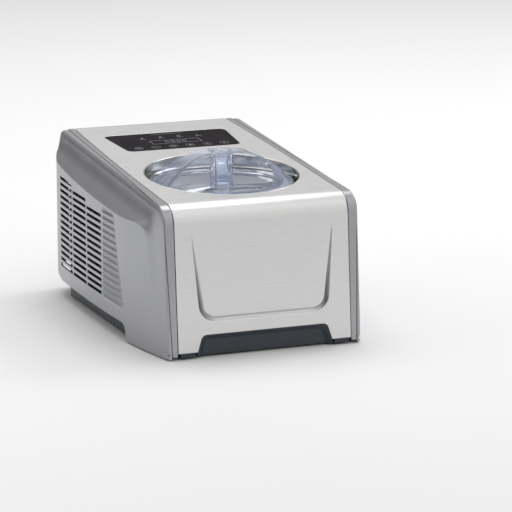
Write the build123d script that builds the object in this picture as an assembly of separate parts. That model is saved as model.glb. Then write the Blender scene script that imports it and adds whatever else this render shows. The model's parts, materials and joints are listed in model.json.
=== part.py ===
from build123d import *
import math
import os

# Self-refrigerating ice cream maker. Millimetres and degrees, X across, Y to the back, Z up.
# The origin is on the counter, under the middle of the machine.

# Steel wrap: a leaning front that bends over into a top sloping down to the front.
FRONT_Y = -211.5
STEEL_BACK_Y = 206.0
STEEL_LOW_Z = 8.0
FRONT_LEAN = 4.75
TOP_SLOPE = 4.3
TOP_REF_Y = -166.0
TOP_REF_Z = 190.0
CORNER_R = 26.0
STEEL_T = 1.6
STEEL_HALF_FRONT = 115.0
STEEL_HALF_BACK = 108.0
TAPER_START_Y = -60.0
BACK_Y = 209.0

# Front of the wrap: pressed U groove and the arch between the feet.
GROOVE_TOP_Z = 162.0
GROOVE_TOP_HALF = 94.5
GROOVE_LOW_Z = 43.5
GROOVE_LOW_HALF = 85.5
GROOVE_WIDTH = 8.0
GROOVE_DEPTH = 0.9
ARCH_TOP_Z = 28.7
ARCH_TOP_HALF = 83.0
ARCH_FOOT_HALF = 91.5
ARCH_R = 8.0
ARCH_GAP = 0.3
MOULDING_RIM = 1.3
MOULDING_RIM_W = 1.5
MOULDING_FIELD = 6.0
MOULDING_FIELD_W = 6.8
MOULDING_T = 6.7

# Control panel, let into the back of the top.
PANEL_FRONT_Y = 72.0
PANEL_BACK_Y = 157.0
PANEL_FRONT_HALF = 78.0
PANEL_BACK_HALF = 86.0
PANEL_R = 9.0
PANEL_T = 1.4
BOARD_T = 1.6
BOARD_Z = 173.6

# Trim strips and side covers.
TRIM_GAP = 0.4
TRIM_T = 3.0
TRIM_LOW_Z = 4.0
TRIM_OUTLINE = ((122.0, -214.0), (127.5, -198.0), (127.0, -150.0), (122.0, 0.0), (118.0, 209.0))
COVER_HALF = 150.0
COVER_WALL = 2.5
COVER_LOW_Z = 2.0
COVER_PLAN = ((127.0, -214.0), (134.0, -183.0), (141.0, -142.0), (148.2, -78.0), (COVER_HALF, 12.0),
              (149.0, 92.0), (145.0, 172.0), (134.0, 209.0))
COVER_CORNER_R = 22.0
COVER_BACK_R = 6.0
# Sweep of the cover's shoulder: half width, set-back of the front edge, drop of the top edge,
# set-back of the back edge.
SHOULDER = ((112.0, 0.0, 0.0, 0.0), (124.0, 0.0, 0.3, 0.0), (127.6, 0.6, 1.6, 0.3),
            (129.2, 4.5, 5.0, 1.0), (130.6, 11.0, 11.0, 2.0), (133.0, 23.0, 19.0, 4.0),
            (137.5, 36.0, 27.0, 8.0), (143.5, 50.0, 33.0, 14.0), (152.0, 72.0, 38.0, 24.0))
SIDE_ARCH_Z = 24.0
SIDE_ARCH_FRONT_Y = -103.0
SIDE_ARCH_BACK_Y = 158.0
SIDE_ARCH_R = 14.0
SIDE_SCREW_X = 128.0
SIDE_SCREW_YS = (-70.0, 40.0)
SCREW_R = 1.4
SCREW_HEAD_R = 3.2

# Louvres in the side covers.
LOUVRE_ROWS = 15
LOUVRE_PITCH = 8.4
LOUVRE_LOW_Z = 44.0
LOUVRE_HEIGHT = 4.0
LOUVRE_BARS = (-23.0, 38.0, 99.0, 160.0)
LOUVRE_BAR_W = 4.0
LOUVRE_TOP_DROP = 47.0

# Freezing well, bowl and lid, all on one upright axis.
AXIS_Y = -60.0
WELL_R = 99.5
COLLAR_R = 98.2
COLLAR_T = 1.0
COLLAR_FLOOR_Z = 177.0
POT_R = 80.6
POT_T = 1.6
POT_FLOOR_Z = 80.0
BOWL_R = 80.0
BOWL_T = 1.5
BOWL_FLOOR_Z = 82.0
RIM_R = 92.3
RIM_Z = 182.7
POST_R = 5.2
POST_TOP_Z = 164.0
TAB_DEPTH = 1.9
TAB_Z = 176.0
BAIL_R = 95.8
BAIL_WIRE_R = 1.6
BAIL_Z = 187.0
LID_R = 91.5
LID_FLANGE_Z = 184.7
LID_FLANGE_TOP_Z = 187.2
LID_LIP_Z = 189.0
DISH_R = 77.8
DISH_FLOOR_Z = 181.8
DISH_T = 2.2
SKIRT_R = 75.8
SKIRT_LOW_Z = 171.0
HANDLE_TOP_Z = 229.0
HANDLE_SPAN = 86.0
HANDLE_T = 3.0
HANDLE_POWER = 2.5

# Drive: motor pinion, compound counter gear, drive gear and shaft.
SHAFT_R = 4.0
SHAFT_TOP_Z = 178.0
SHAFT_SQUARE = 5.4
RUN_CLEARANCE = 0.08
PRESSURE_ANGLE = 20.0
DRIVE_MODULE = 1.25
DRIVE_TEETH = 60
COUNTER_SMALL_TEETH = 18
MOTOR_MODULE = 1.0
COUNTER_BIG_TEETH = 54
PINION_TEETH = 16
COUNTER_X = DRIVE_MODULE * (DRIVE_TEETH + COUNTER_SMALL_TEETH) / 2
MOTOR_Y = AXIS_Y - MOTOR_MODULE * (COUNTER_BIG_TEETH + PINION_TEETH) / 2
LOW_GEAR_Z = 51.0
HIGH_GEAR_Z = 59.0
GEAR_T = 6.0
AXLE_R = 2.5
BUSH_R = 7.0
GEARBOX_PLAN = (-43.0, 83.0, -112.0, -17.0)
GEARBOX_LOW_Z = 46.0
GEARBOX_SPLIT_Z = 58.0
GEARBOX_TOP_Z = 70.0
GEARBOX_WALL = 3.0
MOTOR_R = 24.0
MOTOR_WALL = 1.5
MOTOR_LOW_Z = 10.0
MOTOR_SHAFT_R = 2.0
ROTOR_R = 15.0
CORE_ZS = (16.0, 38.0)

# Base and refrigeration.
TRAY_LOW_Z = 3.0
TRAY_TOP_Z = 26.0
TRAY_T = 2.5
TRAY_FLOOR_Z = TRAY_LOW_Z + TRAY_T
# Raised rear corners of the tray, lower on the condenser's side: side, top.
TRAY_CORNERS = ((-1, 40.0), (1, 33.0))
FOOT_PLACES = ((-98, -186), (98, -186), (-100, 188), (100, 188))
REAR_SCREW_PLACES = ((-104, 34), (104, 34), (-98, 196), (98, 196))
REAR_HALF = 117.2
REAR_TOP_HALF = 107.8
REAR_EDGE_Z = 214.4
REAR_T = 2.5
VENT_ROWS = 11
VENT_LOW_Z = 70.0
VENT_PITCH = 9.0
VENT_HEIGHT = 4.0
VENT_LENGTH = 56.0
VENT_XS = (-30.0, 34.0)
INLET_X = 78.0
INLET_Z = 44.0
INLET_HALF_W = 13.8
INLET_HALF_H = 10.3
INLET_DEPTH = 17.0
INLET_BLADES = ((-7, -2), (0, 3), (7, -2))
COMPRESSOR_X = -58.0
COMPRESSOR_Y = 128.0
COMPRESSOR_R = 50.0
COMPRESSOR_TOP_Z = 149.0
BRACKET_TOP_Z = 31.0
BRACKET_T = 3.0
GROMMET_NECK_R = 5.0
CONDENSER_X = 123.0
CONDENSER_Y = 122.0
CONDENSER_Z = 92.0
CONDENSER_W = 112.0
CONDENSER_TUBE_R = 2.8
FIN_COUNT = 14
FAN_X = 98.0
FAN_R = 50.0
FAN_SHAFT_R = 1.5
TUBE_R = 3.0
DRIER_X = 30.0
DRIER_Y = 192.0

os.makedirs("parts", exist_ok=True)
LEAN_TAN = math.tan(math.radians(FRONT_LEAN))
SLOPE_TAN = math.tan(math.radians(TOP_SLOPE))
SLOPE_COS = math.cos(math.radians(TOP_SLOPE))
FAR = 400.0
PLAIN_CORNER_R = 5.0


def save(shape, node):
    export_step(shape, "parts/" + node + ".step")


def front_y(z):
    return FRONT_Y + (z - STEEL_LOW_Z) * LEAN_TAN


def top_z(y):
    return TOP_REF_Z + (y - TOP_REF_Y) * SLOPE_TAN


def tube(outer, inner, low, high, x=0.0, y=AXIS_Y):
    """Upright ring between two heights."""
    height = high - low
    middle = Pos(x, y, (low + high) / 2)
    ring = middle * Cylinder(outer, height)
    if inner > 0:
        ring = ring - middle * Cylinder(inner, height + 2)
    return ring


def block(x0, x1, y0, y1, z0, z1):
    """Box between two corners."""
    centre = Pos((x0 + x1) / 2, (y0 + y1) / 2, (z0 + z1) / 2)
    return centre * Box(x1 - x0, y1 - y0, z1 - z0)


def near(sketch, x, y):
    return sketch.vertices().sort_by_distance((x, y, 0))[0]


def side_outline(front, top, low, back, corner_r, back_r=0.0):
    """Side view of the body, set in from the steel's front and top faces."""
    set_back = front / math.cos(math.radians(FRONT_LEAN))
    drop = top / SLOPE_COS
    corner_y = FRONT_Y + set_back - STEEL_LOW_Z * LEAN_TAN
    corner_y = corner_y + LEAN_TAN * (TOP_REF_Z - drop - TOP_REF_Y * SLOPE_TAN)
    corner_y = corner_y / (1 - LEAN_TAN * SLOPE_TAN)
    foot = (front_y(low) + set_back, low)
    corner = (corner_y, top_z(corner_y) - drop)
    high = (back, top_z(back) - drop)
    heel = (back, low)
    outline = make_face(Polyline(foot, corner, high, heel, close=True))
    outline = fillet(near(outline, *corner), corner_r)
    if back_r > 0:
        outline = fillet(near(outline, *high), back_r)
    return outline


def sheet(depth, low, back, corner_r=CORNER_R):
    """Bent sheet that follows the steel's front and top faces."""
    outer = side_outline(0, 0, low, back, corner_r)
    inner = side_outline(depth, depth, low - 50, back + 50, corner_r - depth)
    solid = extrude(Plane.YZ * outer, FAR / 2, both=True)
    return solid - extrude(Plane.YZ * inner, FAR, both=True)


def steel_plan(grow=0.0):
    """Plan of the steel wrap: straight at the well, closing in towards the back."""
    half = STEEL_HALF_FRONT + grow
    back = STEEL_HALF_BACK + grow
    middle = (half * 0.62 + back * 0.38, 100.0)
    right = ThreePointArc((half, TAPER_START_Y), middle, (back, BACK_Y + 10))
    left = ThreePointArc((-back, BACK_Y + 10), (-middle[0], middle[1]), (-half, TAPER_START_Y))
    edges = [
        Line((-half, TAPER_START_Y), (-half, -230)),
        Line((-half, -230), (half, -230)),
        Line((half, -230), (half, TAPER_START_Y)),
        right,
        Line((back, BACK_Y + 10), (-back, BACK_Y + 10)),
        left,
    ]
    return extrude(make_face(edges), FAR)


def trim_plan(grow=0.0):
    """Plan out to the outer edges of both trim strips."""
    outer = [(x + grow, y) for x, y in TRIM_OUTLINE]
    mirrored = [(-x, y) for x, y in reversed(outer)]
    ends = [(outer[0][0], -240), (-outer[0][0], -240)]
    backs = [(outer[-1][0], BACK_Y + 20), (-outer[-1][0], BACK_Y + 20)]
    outline = Polyline(*(outer + backs + mirrored + [ends[1], ends[0]]), close=True)
    return Pos(0, 0, -20) * extrude(make_face(outline), FAR)


def panel_outline(grow):
    """Plan of the control panel on the top plane."""
    front, back = PANEL_FRONT_HALF + grow, PANEL_BACK_HALF + grow
    y0, y1 = PANEL_FRONT_Y - grow, PANEL_BACK_Y + grow
    outline = make_face(Polyline((-front, y0), (front, y0), (back, y1), (-back, y1), close=True))
    return fillet(outline.vertices(), PANEL_R)


def panel_prism(grow, depth, thick):
    """Plate of the panel's outline, lying at a depth under the top plane."""
    prism = extrude(panel_outline(grow), FAR)
    upper = side_outline(0, depth, 100, BACK_Y, PLAIN_CORNER_R)
    lower = side_outline(0, depth + thick, 90, BACK_Y + 10, PLAIN_CORNER_R)
    slab = extrude(Plane.YZ * upper, FAR / 2, both=True)
    return prism & (slab - extrude(Plane.YZ * lower, FAR, both=True))


def front_plate(outline):
    """Front view outline (x, z) cut through the front of the body."""
    return extrude(Plane.XZ * outline, FAR, both=True) & block(-FAR, FAR, -230, -150, -10, FAR)


def arch_outline(inset=0.0):
    """Front view of the arch between the feet, open downwards."""
    foot, half, top = ARCH_FOOT_HALF + 2 - inset, ARCH_TOP_HALF - inset, ARCH_TOP_Z - inset
    outline = make_face(Polyline((-foot, -5), (foot, -5), (half, top), (-half, top), close=True))
    return fillet([near(outline, half, top), near(outline, -half, top)], ARCH_R - 0.4 * inset)


def groove_outline():
    """U groove that starts as a point at each top end and widens downwards."""
    top, low, wide = GROOVE_TOP_HALF, GROOVE_LOW_HALF, GROOVE_WIDTH
    outer = make_face(Polyline((-top, GROOVE_TOP_Z), (-low, GROOVE_LOW_Z), (low, GROOVE_LOW_Z),
                               (top, GROOVE_TOP_Z), close=True))
    outer = fillet([near(outer, -low, GROOVE_LOW_Z), near(outer, low, GROOVE_LOW_Z)], 22)
    inner_low = (low - wide, GROOVE_LOW_Z + wide)
    inner = make_face(Polyline((-top + 0.6, GROOVE_TOP_Z + 4), (-inner_low[0], inner_low[1]),
                               inner_low, (top - 0.6, GROOVE_TOP_Z + 4), close=True))
    inner = fillet([near(inner, -inner_low[0], inner_low[1]), near(inner, *inner_low)], 16)
    return outer - inner


def steel_shell():
    wrap = sheet(STEEL_T, STEEL_LOW_Z, STEEL_BACK_Y) & steel_plan()
    wrap = wrap - tube(WELL_R, 0, 150, 240)
    wrap = wrap - panel_prism(0.3, -5, 20)
    wrap = wrap - front_plate(arch_outline())
    deep = side_outline(GROOVE_DEPTH, 0, 0, BACK_Y, CORNER_R - 1)
    skin = front_plate(groove_outline()) - extrude(Plane.YZ * deep, FAR, both=True)
    return wrap - skin


def trim_strip(side):
    band = sheet(TRIM_T, TRIM_LOW_Z, BACK_Y) & trim_plan()
    band = band - steel_plan(TRIM_GAP)
    return band & block(*sorted((0, side * FAR)), -FAR, FAR, 0, FAR)


def cover_plan(inset):
    """Plan prism of the left cover, rounded towards the front and the back corner."""
    points = [(-x + inset, y) for x, y in COVER_PLAN]
    points[-1] = (points[-1][0], BACK_Y - inset)
    edges = [
        Spline(*points),
        Line(points[-1], (-100, BACK_Y - inset)),
        Line((-100, BACK_Y - inset), (-100, points[0][1])),
        Line((-100, points[0][1]), points[0]),
    ]
    return Pos(0, 0, -30) * extrude(make_face(edges), FAR)


def cover_block(inset, low):
    """Solid of the left cover's outer skin, set in by a wall thickness."""
    sections = []
    for half, front, top, back in SHOULDER:
        end = BACK_Y - back - inset
        outline = side_outline(front + inset, top + inset, low, end, COVER_CORNER_R, COVER_BACK_R - inset)
        sections.append(Plane.YZ.offset(-(half - inset)) * outline)
    return loft(sections, ruled=True) & cover_plan(inset)


def side_arch():
    """Opening under the middle of a side cover, down to the counter."""
    points = ((SIDE_ARCH_FRONT_Y, -10), (SIDE_ARCH_BACK_Y + 60, -10),
              (SIDE_ARCH_BACK_Y + 60, SIDE_ARCH_Z + 16), (SIDE_ARCH_BACK_Y, SIDE_ARCH_Z),
              (SIDE_ARCH_FRONT_Y, SIDE_ARCH_Z))
    outline = make_face(Polyline(*points, close=True))
    outline = fillet(near(outline, SIDE_ARCH_FRONT_Y, SIDE_ARCH_Z), SIDE_ARCH_R)
    outline = fillet(near(outline, SIDE_ARCH_BACK_Y, SIDE_ARCH_Z), 60)
    return extrude(Plane.YZ * outline, FAR, both=True)


def louvres():
    """Open slots of the left cover, in rows that stop short of the shoulder crease."""
    slots = []
    for row in range(LOUVRE_ROWS):
        z = LOUVRE_LOW_Z + row * LOUVRE_PITCH
        for first, last in zip(LOUVRE_BARS, LOUVRE_BARS[1:]):
            start = first + LOUVRE_BAR_W / 2
            stop = last - LOUVRE_BAR_W / 2
            slot = block(-160, -120, start, stop, z, z + LOUVRE_HEIGHT)
            if z + LOUVRE_HEIGHT > top_z(start) - LOUVRE_TOP_DROP:
                slot = under_top(slot, LOUVRE_TOP_DROP)
            if z + 1 < top_z(start) - LOUVRE_TOP_DROP:
                slots.append(slot)
    return slots


def screw_posts():
    """Posts inside the left cover that take the base screws."""
    posts = []
    for y in SIDE_SCREW_YS:
        post = tube(4.5, SCREW_R, TRAY_TOP_Z + 2, 46, -SIDE_SCREW_X, y)
        web = block(-152, -131, y - 1.2, y + 1.2, TRAY_TOP_Z + 6, 42)
        posts.append(post + web)
    return posts


def side_cover():
    outer = cover_block(0, COVER_LOW_Z)
    cover = outer - cover_block(COVER_WALL, COVER_LOW_Z - 15)
    cover = cover - trim_plan(TRIM_GAP)
    cover = cover - side_arch()
    cover = cover - louvres()
    for post in screw_posts():
        cover = cover + (post & outer)
    return cover


def tray_outline(inset):
    x_front, x_side = 112.0 - inset, 136.0 - inset
    y_front, y_back = -205.0 + inset, 203.0 - inset
    right = [(x_front, y_front), (x_front, -98 + inset), (x_side, -92 + inset),
             (x_side, 150 - inset), (x_front + 4, y_back)]
    left = [(-x, y) for x, y in reversed(right)]
    return make_face(Polyline(*(right + left), close=True))


def front_moulding():
    """Bar in the arch of the wrap: a rim, then a bevel that runs in to a set-back field."""
    face = Plane(origin=(0, front_y(0), 0), x_dir=(1, 0, 0), z_dir=(0, -1, LEAN_TAN))
    bar = extrude(face.offset(-MOULDING_RIM) * arch_outline(ARCH_GAP), -MOULDING_T)
    bevel = loft([face.offset(-MOULDING_RIM + 0.1) * arch_outline(MOULDING_RIM_W),
                  face.offset(-MOULDING_FIELD) * arch_outline(MOULDING_FIELD_W)], ruled=True)
    return (bar - bevel) & block(-FAR, FAR, -FAR, FAR, TRAY_LOW_Z, FAR)


def base_tray():
    outer = extrude(Pos(0, 0, TRAY_LOW_Z) * tray_outline(0), TRAY_TOP_Z - TRAY_LOW_Z)
    inner = extrude(Pos(0, 0, TRAY_FLOOR_Z) * tray_outline(TRAY_T), 40)
    tray = outer - inner + front_moulding()
    for side, top in TRAY_CORNERS:
        corner = block(*sorted((side * 118, side * 137)), 152, 204, TRAY_TOP_Z - 1, top)
        tray = tray + (extrude(tray_outline(0) - tray_outline(TRAY_T), FAR) & corner)
    for side in (-1, 1):
        toe = sorted((side * 92.5, side * 112))
        tray = tray + block(*toe, FRONT_Y, -205, TRAY_LOW_Z, STEEL_LOW_Z - 0.2)
        for y in SIDE_SCREW_YS:
            x = side * SIDE_SCREW_X
            tray = tray + tube(5, 0, TRAY_FLOOR_Z, TRAY_TOP_Z, x, y)
            tray = tray - tube(SCREW_R + 0.3, 0, 0, 40, x, y)
            tray = tray - tube(SCREW_HEAD_R + 0.4, 0, 0, 10, x, y)
    for column in range(7):
        x = 42 + column * 9
        tray = tray - block(x, x + 4, 70, 170, 0, TRAY_FLOOR_Z + 1)
    for x, y in FOOT_PLACES:
        tray = tray - tube(10.2, 0, 0, TRAY_LOW_Z + 1, x, y)
    return tray


def rubber_feet():
    return Compound([tube(10, 0, 0, TRAY_LOW_Z + 1, x, y) for x, y in FOOT_PLACES])


def base_screws():
    screws = []
    for side in (-1, 1):
        for y in SIDE_SCREW_YS:
            x = side * SIDE_SCREW_X
            screws.append(tube(SCREW_HEAD_R, 0, 8, 10, x, y) + tube(SCREW_R, 0, 9, 40, x, y))
    return Compound(screws)


def rear_panel():
    half, top_half, top = REAR_HALF, REAR_TOP_HALF, top_z(BACK_Y) - 0.4
    right = [(half, STEEL_LOW_Z), (half, REAR_EDGE_Z), (top_half, REAR_EDGE_Z), (top_half, top)]
    left = [(-x, z) for x, z in reversed(right)]
    outline = make_face(Polyline(*(right + left), close=True))
    panel = Pos(0, BACK_Y, 0) * extrude(Plane.XZ * outline, REAR_T)
    through = (BACK_Y - 9, BACK_Y + 3)
    for row in range(VENT_ROWS):
        z = VENT_LOW_Z + row * VENT_PITCH
        for x in VENT_XS:
            panel = panel - block(x, x + VENT_LENGTH, *through, z, z + VENT_HEIGHT)
    half_w, half_h = INLET_HALF_W + 0.2, INLET_HALF_H + 0.2
    panel = panel - block(INLET_X - half_w, INLET_X + half_w, *through, INLET_Z - half_h, INLET_Z + half_h)
    for x, z in REAR_SCREW_PLACES:
        panel = panel - Pos(x, BACK_Y, z) * Rot(90, 0, 0) * Cylinder(1.8, 20)
    return panel


def rear_screws():
    screws = []
    for x, z in REAR_SCREW_PLACES:
        head = Pos(x, BACK_Y + 0.9, z) * Rot(90, 0, 0) * Cylinder(3.2, 1.8)
        shank = Pos(x, BACK_Y - 5, z) * Rot(90, 0, 0) * Cylinder(1.5, 12)
        screws.append(head + shank)
    return Compound(screws)


def power_inlet():
    """Recessed three-pin inlet; nothing is plugged into it."""
    half_w, half_h = INLET_HALF_W, INLET_HALF_H
    floor_y = BACK_Y - INLET_DEPTH
    flange = block(INLET_X - 17, INLET_X + 17, BACK_Y, BACK_Y + 3, INLET_Z - 14, INLET_Z + 14)
    body = block(INLET_X - half_w, INLET_X + half_w, floor_y - 4, BACK_Y, INLET_Z - half_h, INLET_Z + half_h)
    cavity = block(INLET_X - 12, INLET_X + 12, floor_y, BACK_Y + 11, INLET_Z - 8, INLET_Z + 8)
    inlet = flange + body - cavity
    for x, z in INLET_BLADES:
        blade_x, blade_z = INLET_X + x, INLET_Z + z
        inlet = inlet + block(blade_x - 1, blade_x + 1, floor_y - 2, BACK_Y - 4, blade_z - 2, blade_z + 2)
    return inlet


def under_top(shape, depth):
    """The part of a shape that lies at least a depth below the sloping top."""
    outline = side_outline(0, depth, -50, BACK_Y, PLAIN_CORNER_R)
    return shape & extrude(Plane.YZ * outline, FAR, both=True)


def well_collar():
    wall = under_top(tube(COLLAR_R + COLLAR_T, COLLAR_R, COLLAR_FLOOR_Z, 230), 0.2)
    return wall + tube(COLLAR_R + COLLAR_T, POT_R + POT_T, COLLAR_FLOOR_Z, COLLAR_FLOOR_Z + 1)


def evaporator_pot():
    pot = tube(POT_R + POT_T, POT_R, POT_FLOOR_Z, COLLAR_FLOOR_Z)
    pot = pot + tube(POT_R + POT_T, 12, POT_FLOOR_Z, POT_FLOOR_Z + POT_T)
    return pot + tube(96, POT_R + POT_T, COLLAR_FLOOR_Z - 1.2, COLLAR_FLOOR_Z)


def evaporator_coil():
    radius = POT_R + POT_T + TUBE_R
    path = Pos(0, AXIS_Y, 92) * Helix(pitch=11, height=66, radius=radius)
    start = Plane(origin=path @ 0, z_dir=path % 0)
    return sweep(start * Circle(TUBE_R - 0.05), path=path)


def insulation_jacket():
    jacket = tube(103, POT_R + POT_T + 2 * TUBE_R + 0.5, POT_FLOOR_Z, COLLAR_FLOOR_Z - 3)
    return jacket + tube(103, 14, 71, POT_FLOOR_Z)


def shaft_seal():
    return tube(12, SHAFT_R + RUN_CLEARANCE, 76, POT_FLOOR_Z + POT_T)


def gear(module, teeth, thick, low, x, y, first_tooth, bore):
    """Spur gear with involute flanks, standing on a height, with one tooth at a given angle."""
    pitch_r = module * teeth / 2
    base_r = pitch_r * math.cos(math.radians(PRESSURE_ANGLE))
    tip_r = pitch_r + 0.85 * module
    root_r = pitch_r - 1.15 * module
    pitch_roll = math.tan(math.radians(PRESSURE_ANGLE)) - math.radians(PRESSURE_ANGLE)
    half_tooth = math.pi / (2 * teeth) - 0.07 / pitch_r
    start_r = max(base_r, root_r + 0.05)
    flank = []
    for step in range(5):
        radius = start_r + (tip_r - start_r) * step / 4
        angle = math.acos(min(1.0, base_r / radius))
        roll = math.tan(angle) - angle
        flank.append((radius, half_tooth + pitch_roll - roll))
    points = []
    for tooth in range(teeth):
        centre = math.radians(first_tooth) + tooth * 2 * math.pi / teeth
        side = [(root_r, flank[0][1])] + flank
        rising = [(radius, centre - angle) for radius, angle in side]
        falling = [(radius, centre + angle) for radius, angle in reversed(side)]
        for radius, angle in rising + falling:
            points.append((radius * math.cos(angle), radius * math.sin(angle)))
    face = make_face(Polyline(*points, close=True)) - Circle(bore)
    return Pos(x, y, low) * extrude(face, thick)


def drive_gear():
    wheel = gear(DRIVE_MODULE, DRIVE_TEETH, GEAR_T, HIGH_GEAR_Z, 0, AXIS_Y, 0, SHAFT_R)
    return wheel + tube(9, SHAFT_R, HIGH_GEAR_Z - 6, HIGH_GEAR_Z)


def counter_gear():
    meshed = 180 + 180 / COUNTER_SMALL_TEETH
    bore = AXLE_R + RUN_CLEARANCE
    small = gear(DRIVE_MODULE, COUNTER_SMALL_TEETH, GEAR_T, HIGH_GEAR_Z, COUNTER_X, AXIS_Y, meshed, bore)
    big = gear(MOTOR_MODULE, COUNTER_BIG_TEETH, GEAR_T, LOW_GEAR_Z, COUNTER_X, AXIS_Y, -90, bore)
    return small + big + tube(9, bore, LOW_GEAR_Z + GEAR_T, HIGH_GEAR_Z, COUNTER_X)


def counter_axle():
    return tube(AXLE_R, 0, GEARBOX_LOW_Z, GEARBOX_TOP_Z, COUNTER_X)


def motor_pinion():
    first = 90 + 180 / PINION_TEETH
    place = (LOW_GEAR_Z, COUNTER_X, MOTOR_Y)
    return gear(MOTOR_MODULE, PINION_TEETH, GEAR_T, *place, first, MOTOR_SHAFT_R)


def drive_shaft():
    shaft = tube(SHAFT_R, 0, GEARBOX_LOW_Z + 1, SHAFT_TOP_Z - 10)
    half = SHAFT_SQUARE / 2
    return shaft + block(-half, half, AXIS_Y - half, AXIS_Y + half, SHAFT_TOP_Z - 10, SHAFT_TOP_Z)


def drive_bushes():
    bore = SHAFT_R + RUN_CLEARANCE
    lower = tube(BUSH_R, bore, GEARBOX_LOW_Z, GEARBOX_LOW_Z + 6)
    return Compound([lower, tube(BUSH_R, bore, GEARBOX_TOP_Z - GEARBOX_WALL, GEARBOX_TOP_Z + 2)])


def gearbox_half(low, high, plate_low, plate_high):
    """Open box of the gearbox with the holes that both halves share."""
    x0, x1, y0, y1 = GEARBOX_PLAN
    outline = make_face(Polyline((x0, y0), (x1, y0), (x1, y1), (x0, y1), close=True))
    outline = fillet(outline.vertices(), 12)
    cavity = offset(outline, -GEARBOX_WALL)
    case = extrude(Pos(0, 0, low) * outline, high - low)
    case = case - extrude(Pos(0, 0, low - 5) * cavity, high - low + 10)
    case = case + extrude(Pos(0, 0, plate_low) * outline, plate_high - plate_low)
    case = case - tube(BUSH_R, 0, plate_low - 1, plate_high + 1)
    return case - tube(AXLE_R, 0, plate_low - 1, plate_high + 1, COUNTER_X)


def gearbox_lower():
    low = GEARBOX_LOW_Z
    case = gearbox_half(low, GEARBOX_SPLIT_Z, low, low + GEARBOX_WALL)
    case = case - tube(5, 0, low - 6, GEARBOX_SPLIT_Z, COUNTER_X, MOTOR_Y)
    x0, x1, y0, y1 = GEARBOX_PLAN
    for x in (x0 + 6, x1 - 6):
        for y in (y0 + 6, y1 - 6):
            case = case + tube(4.5, 0, TRAY_FLOOR_Z, low, x, y)
    return case


def gearbox_upper():
    top = GEARBOX_TOP_Z
    return gearbox_half(GEARBOX_SPLIT_Z, top, top - GEARBOX_WALL, top)


def motor_case():
    inner = MOTOR_R - MOTOR_WALL
    low, top = MOTOR_LOW_Z, GEARBOX_LOW_Z
    can = tube(MOTOR_R, inner, low, top, COUNTER_X, MOTOR_Y)
    end = tube(inner, 0, low, low + 2, COUNTER_X, MOTOR_Y)
    cap = tube(inner, MOTOR_SHAFT_R + RUN_CLEARANCE, top - 2, top, COUNTER_X, MOTOR_Y)
    return can + end + cap


def motor_stator():
    return tube(MOTOR_R - MOTOR_WALL, ROTOR_R + 0.5, *CORE_ZS, COUNTER_X, MOTOR_Y)


def motor_rotor():
    core = tube(ROTOR_R, 0, *CORE_ZS, COUNTER_X, MOTOR_Y)
    return core + tube(MOTOR_SHAFT_R, 0, MOTOR_LOW_Z + 2.3, LOW_GEAR_Z + GEAR_T, COUNTER_X, MOTOR_Y)


def compressor_shell():
    body = tube(COMPRESSOR_R, 0, BRACKET_TOP_Z, COMPRESSOR_TOP_Z, COMPRESSOR_X, COMPRESSOR_Y)
    return fillet(body.edges().filter_by(GeomType.CIRCLE), 20)


def grommet_places():
    return [(COMPRESSOR_X + x, COMPRESSOR_Y + y) for x in (-56, 46) for y in (-38, 38)]


def compressor_bracket():
    x, y, top = COMPRESSOR_X, COMPRESSOR_Y, BRACKET_TOP_Z
    plate = block(x - 62, x + 52, y - 46, y + 46, top - BRACKET_T, top)
    for place in grommet_places():
        plate = plate - tube(GROMMET_NECK_R, 0, top - 10, top + 10, *place)
    return plate


def compressor_grommets():
    grommets = []
    low, top = BRACKET_TOP_Z - BRACKET_T, BRACKET_TOP_Z + 2
    for place in grommet_places():
        grommets.append(tube(8, 0, TRAY_FLOOR_Z, low, *place) + tube(GROMMET_NECK_R, 0, low, top, *place))
    return Compound(grommets)


def compressor_relay():
    x = COMPRESSOR_X + COMPRESSOR_R + 1
    return block(x, x + 18, COMPRESSOR_Y - 22, COMPRESSOR_Y + 22, 60, 112)


def condenser_runs():
    """Straight runs of the condenser tube, front to back, in two staggered columns."""
    runs = []
    for column, x in enumerate((CONDENSER_X - 5, CONDENSER_X + 5)):
        for row in range(5):
            z = CONDENSER_Z - 44 + 22 * row + 6 * column - 3
            runs.append((x, z))
    return runs


def condenser_tube():
    radius = CONDENSER_TUBE_R
    shapes = []
    half = CONDENSER_W / 2
    for x, z in condenser_runs():
        run = Pos(x, CONDENSER_Y, z) * Rot(90, 0, 0) * Cylinder(radius, CONDENSER_W)
        shapes.append(run)
    pairs = [(0, 1, 1), (1, 2, -1), (2, 3, 1), (3, 4, -1), (4, 9, 1), (9, 8, -1), (8, 7, 1),
             (7, 6, -1), (6, 5, 1)]
    runs = condenser_runs()
    for first, second, end in pairs:
        shapes.append(return_bend(runs[first], runs[second], CONDENSER_Y + end * half, end, radius))
    whole = shapes[0]
    for shape in shapes[1:]:
        whole = whole + shape
    return whole


def return_bend(start, stop, y, end, radius):
    """Half ring that joins two straight runs of tube."""
    across = math.hypot(stop[0] - start[0], stop[1] - start[1])
    middle = Pos((start[0] + stop[0]) / 2, y, (start[1] + stop[1]) / 2)
    tilt = math.degrees(math.atan2(stop[1] - start[1], stop[0] - start[0]))
    ring = Rot(0, -tilt, 0) * Torus(across / 2, radius)
    keep = block(-60, 60, *sorted((0, end * 60)), -60, 60)
    return middle * (ring & keep)


def condenser_fins():
    fins = []
    pitch = CONDENSER_W / FIN_COUNT
    plate = block(CONDENSER_X - 11, CONDENSER_X + 11, -0.5, 0.5, CONDENSER_Z - 58, CONDENSER_Z + 58)
    for x, z in condenser_runs():
        plate = plate - Pos(x, 0, z) * Rot(90, 0, 0) * Cylinder(CONDENSER_TUBE_R, 10)
    for index in range(FIN_COUNT):
        fins.append(Pos(0, CONDENSER_Y - CONDENSER_W / 2 + pitch * (index + 0.5), 0) * plate)
    return Compound(fins)


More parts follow.
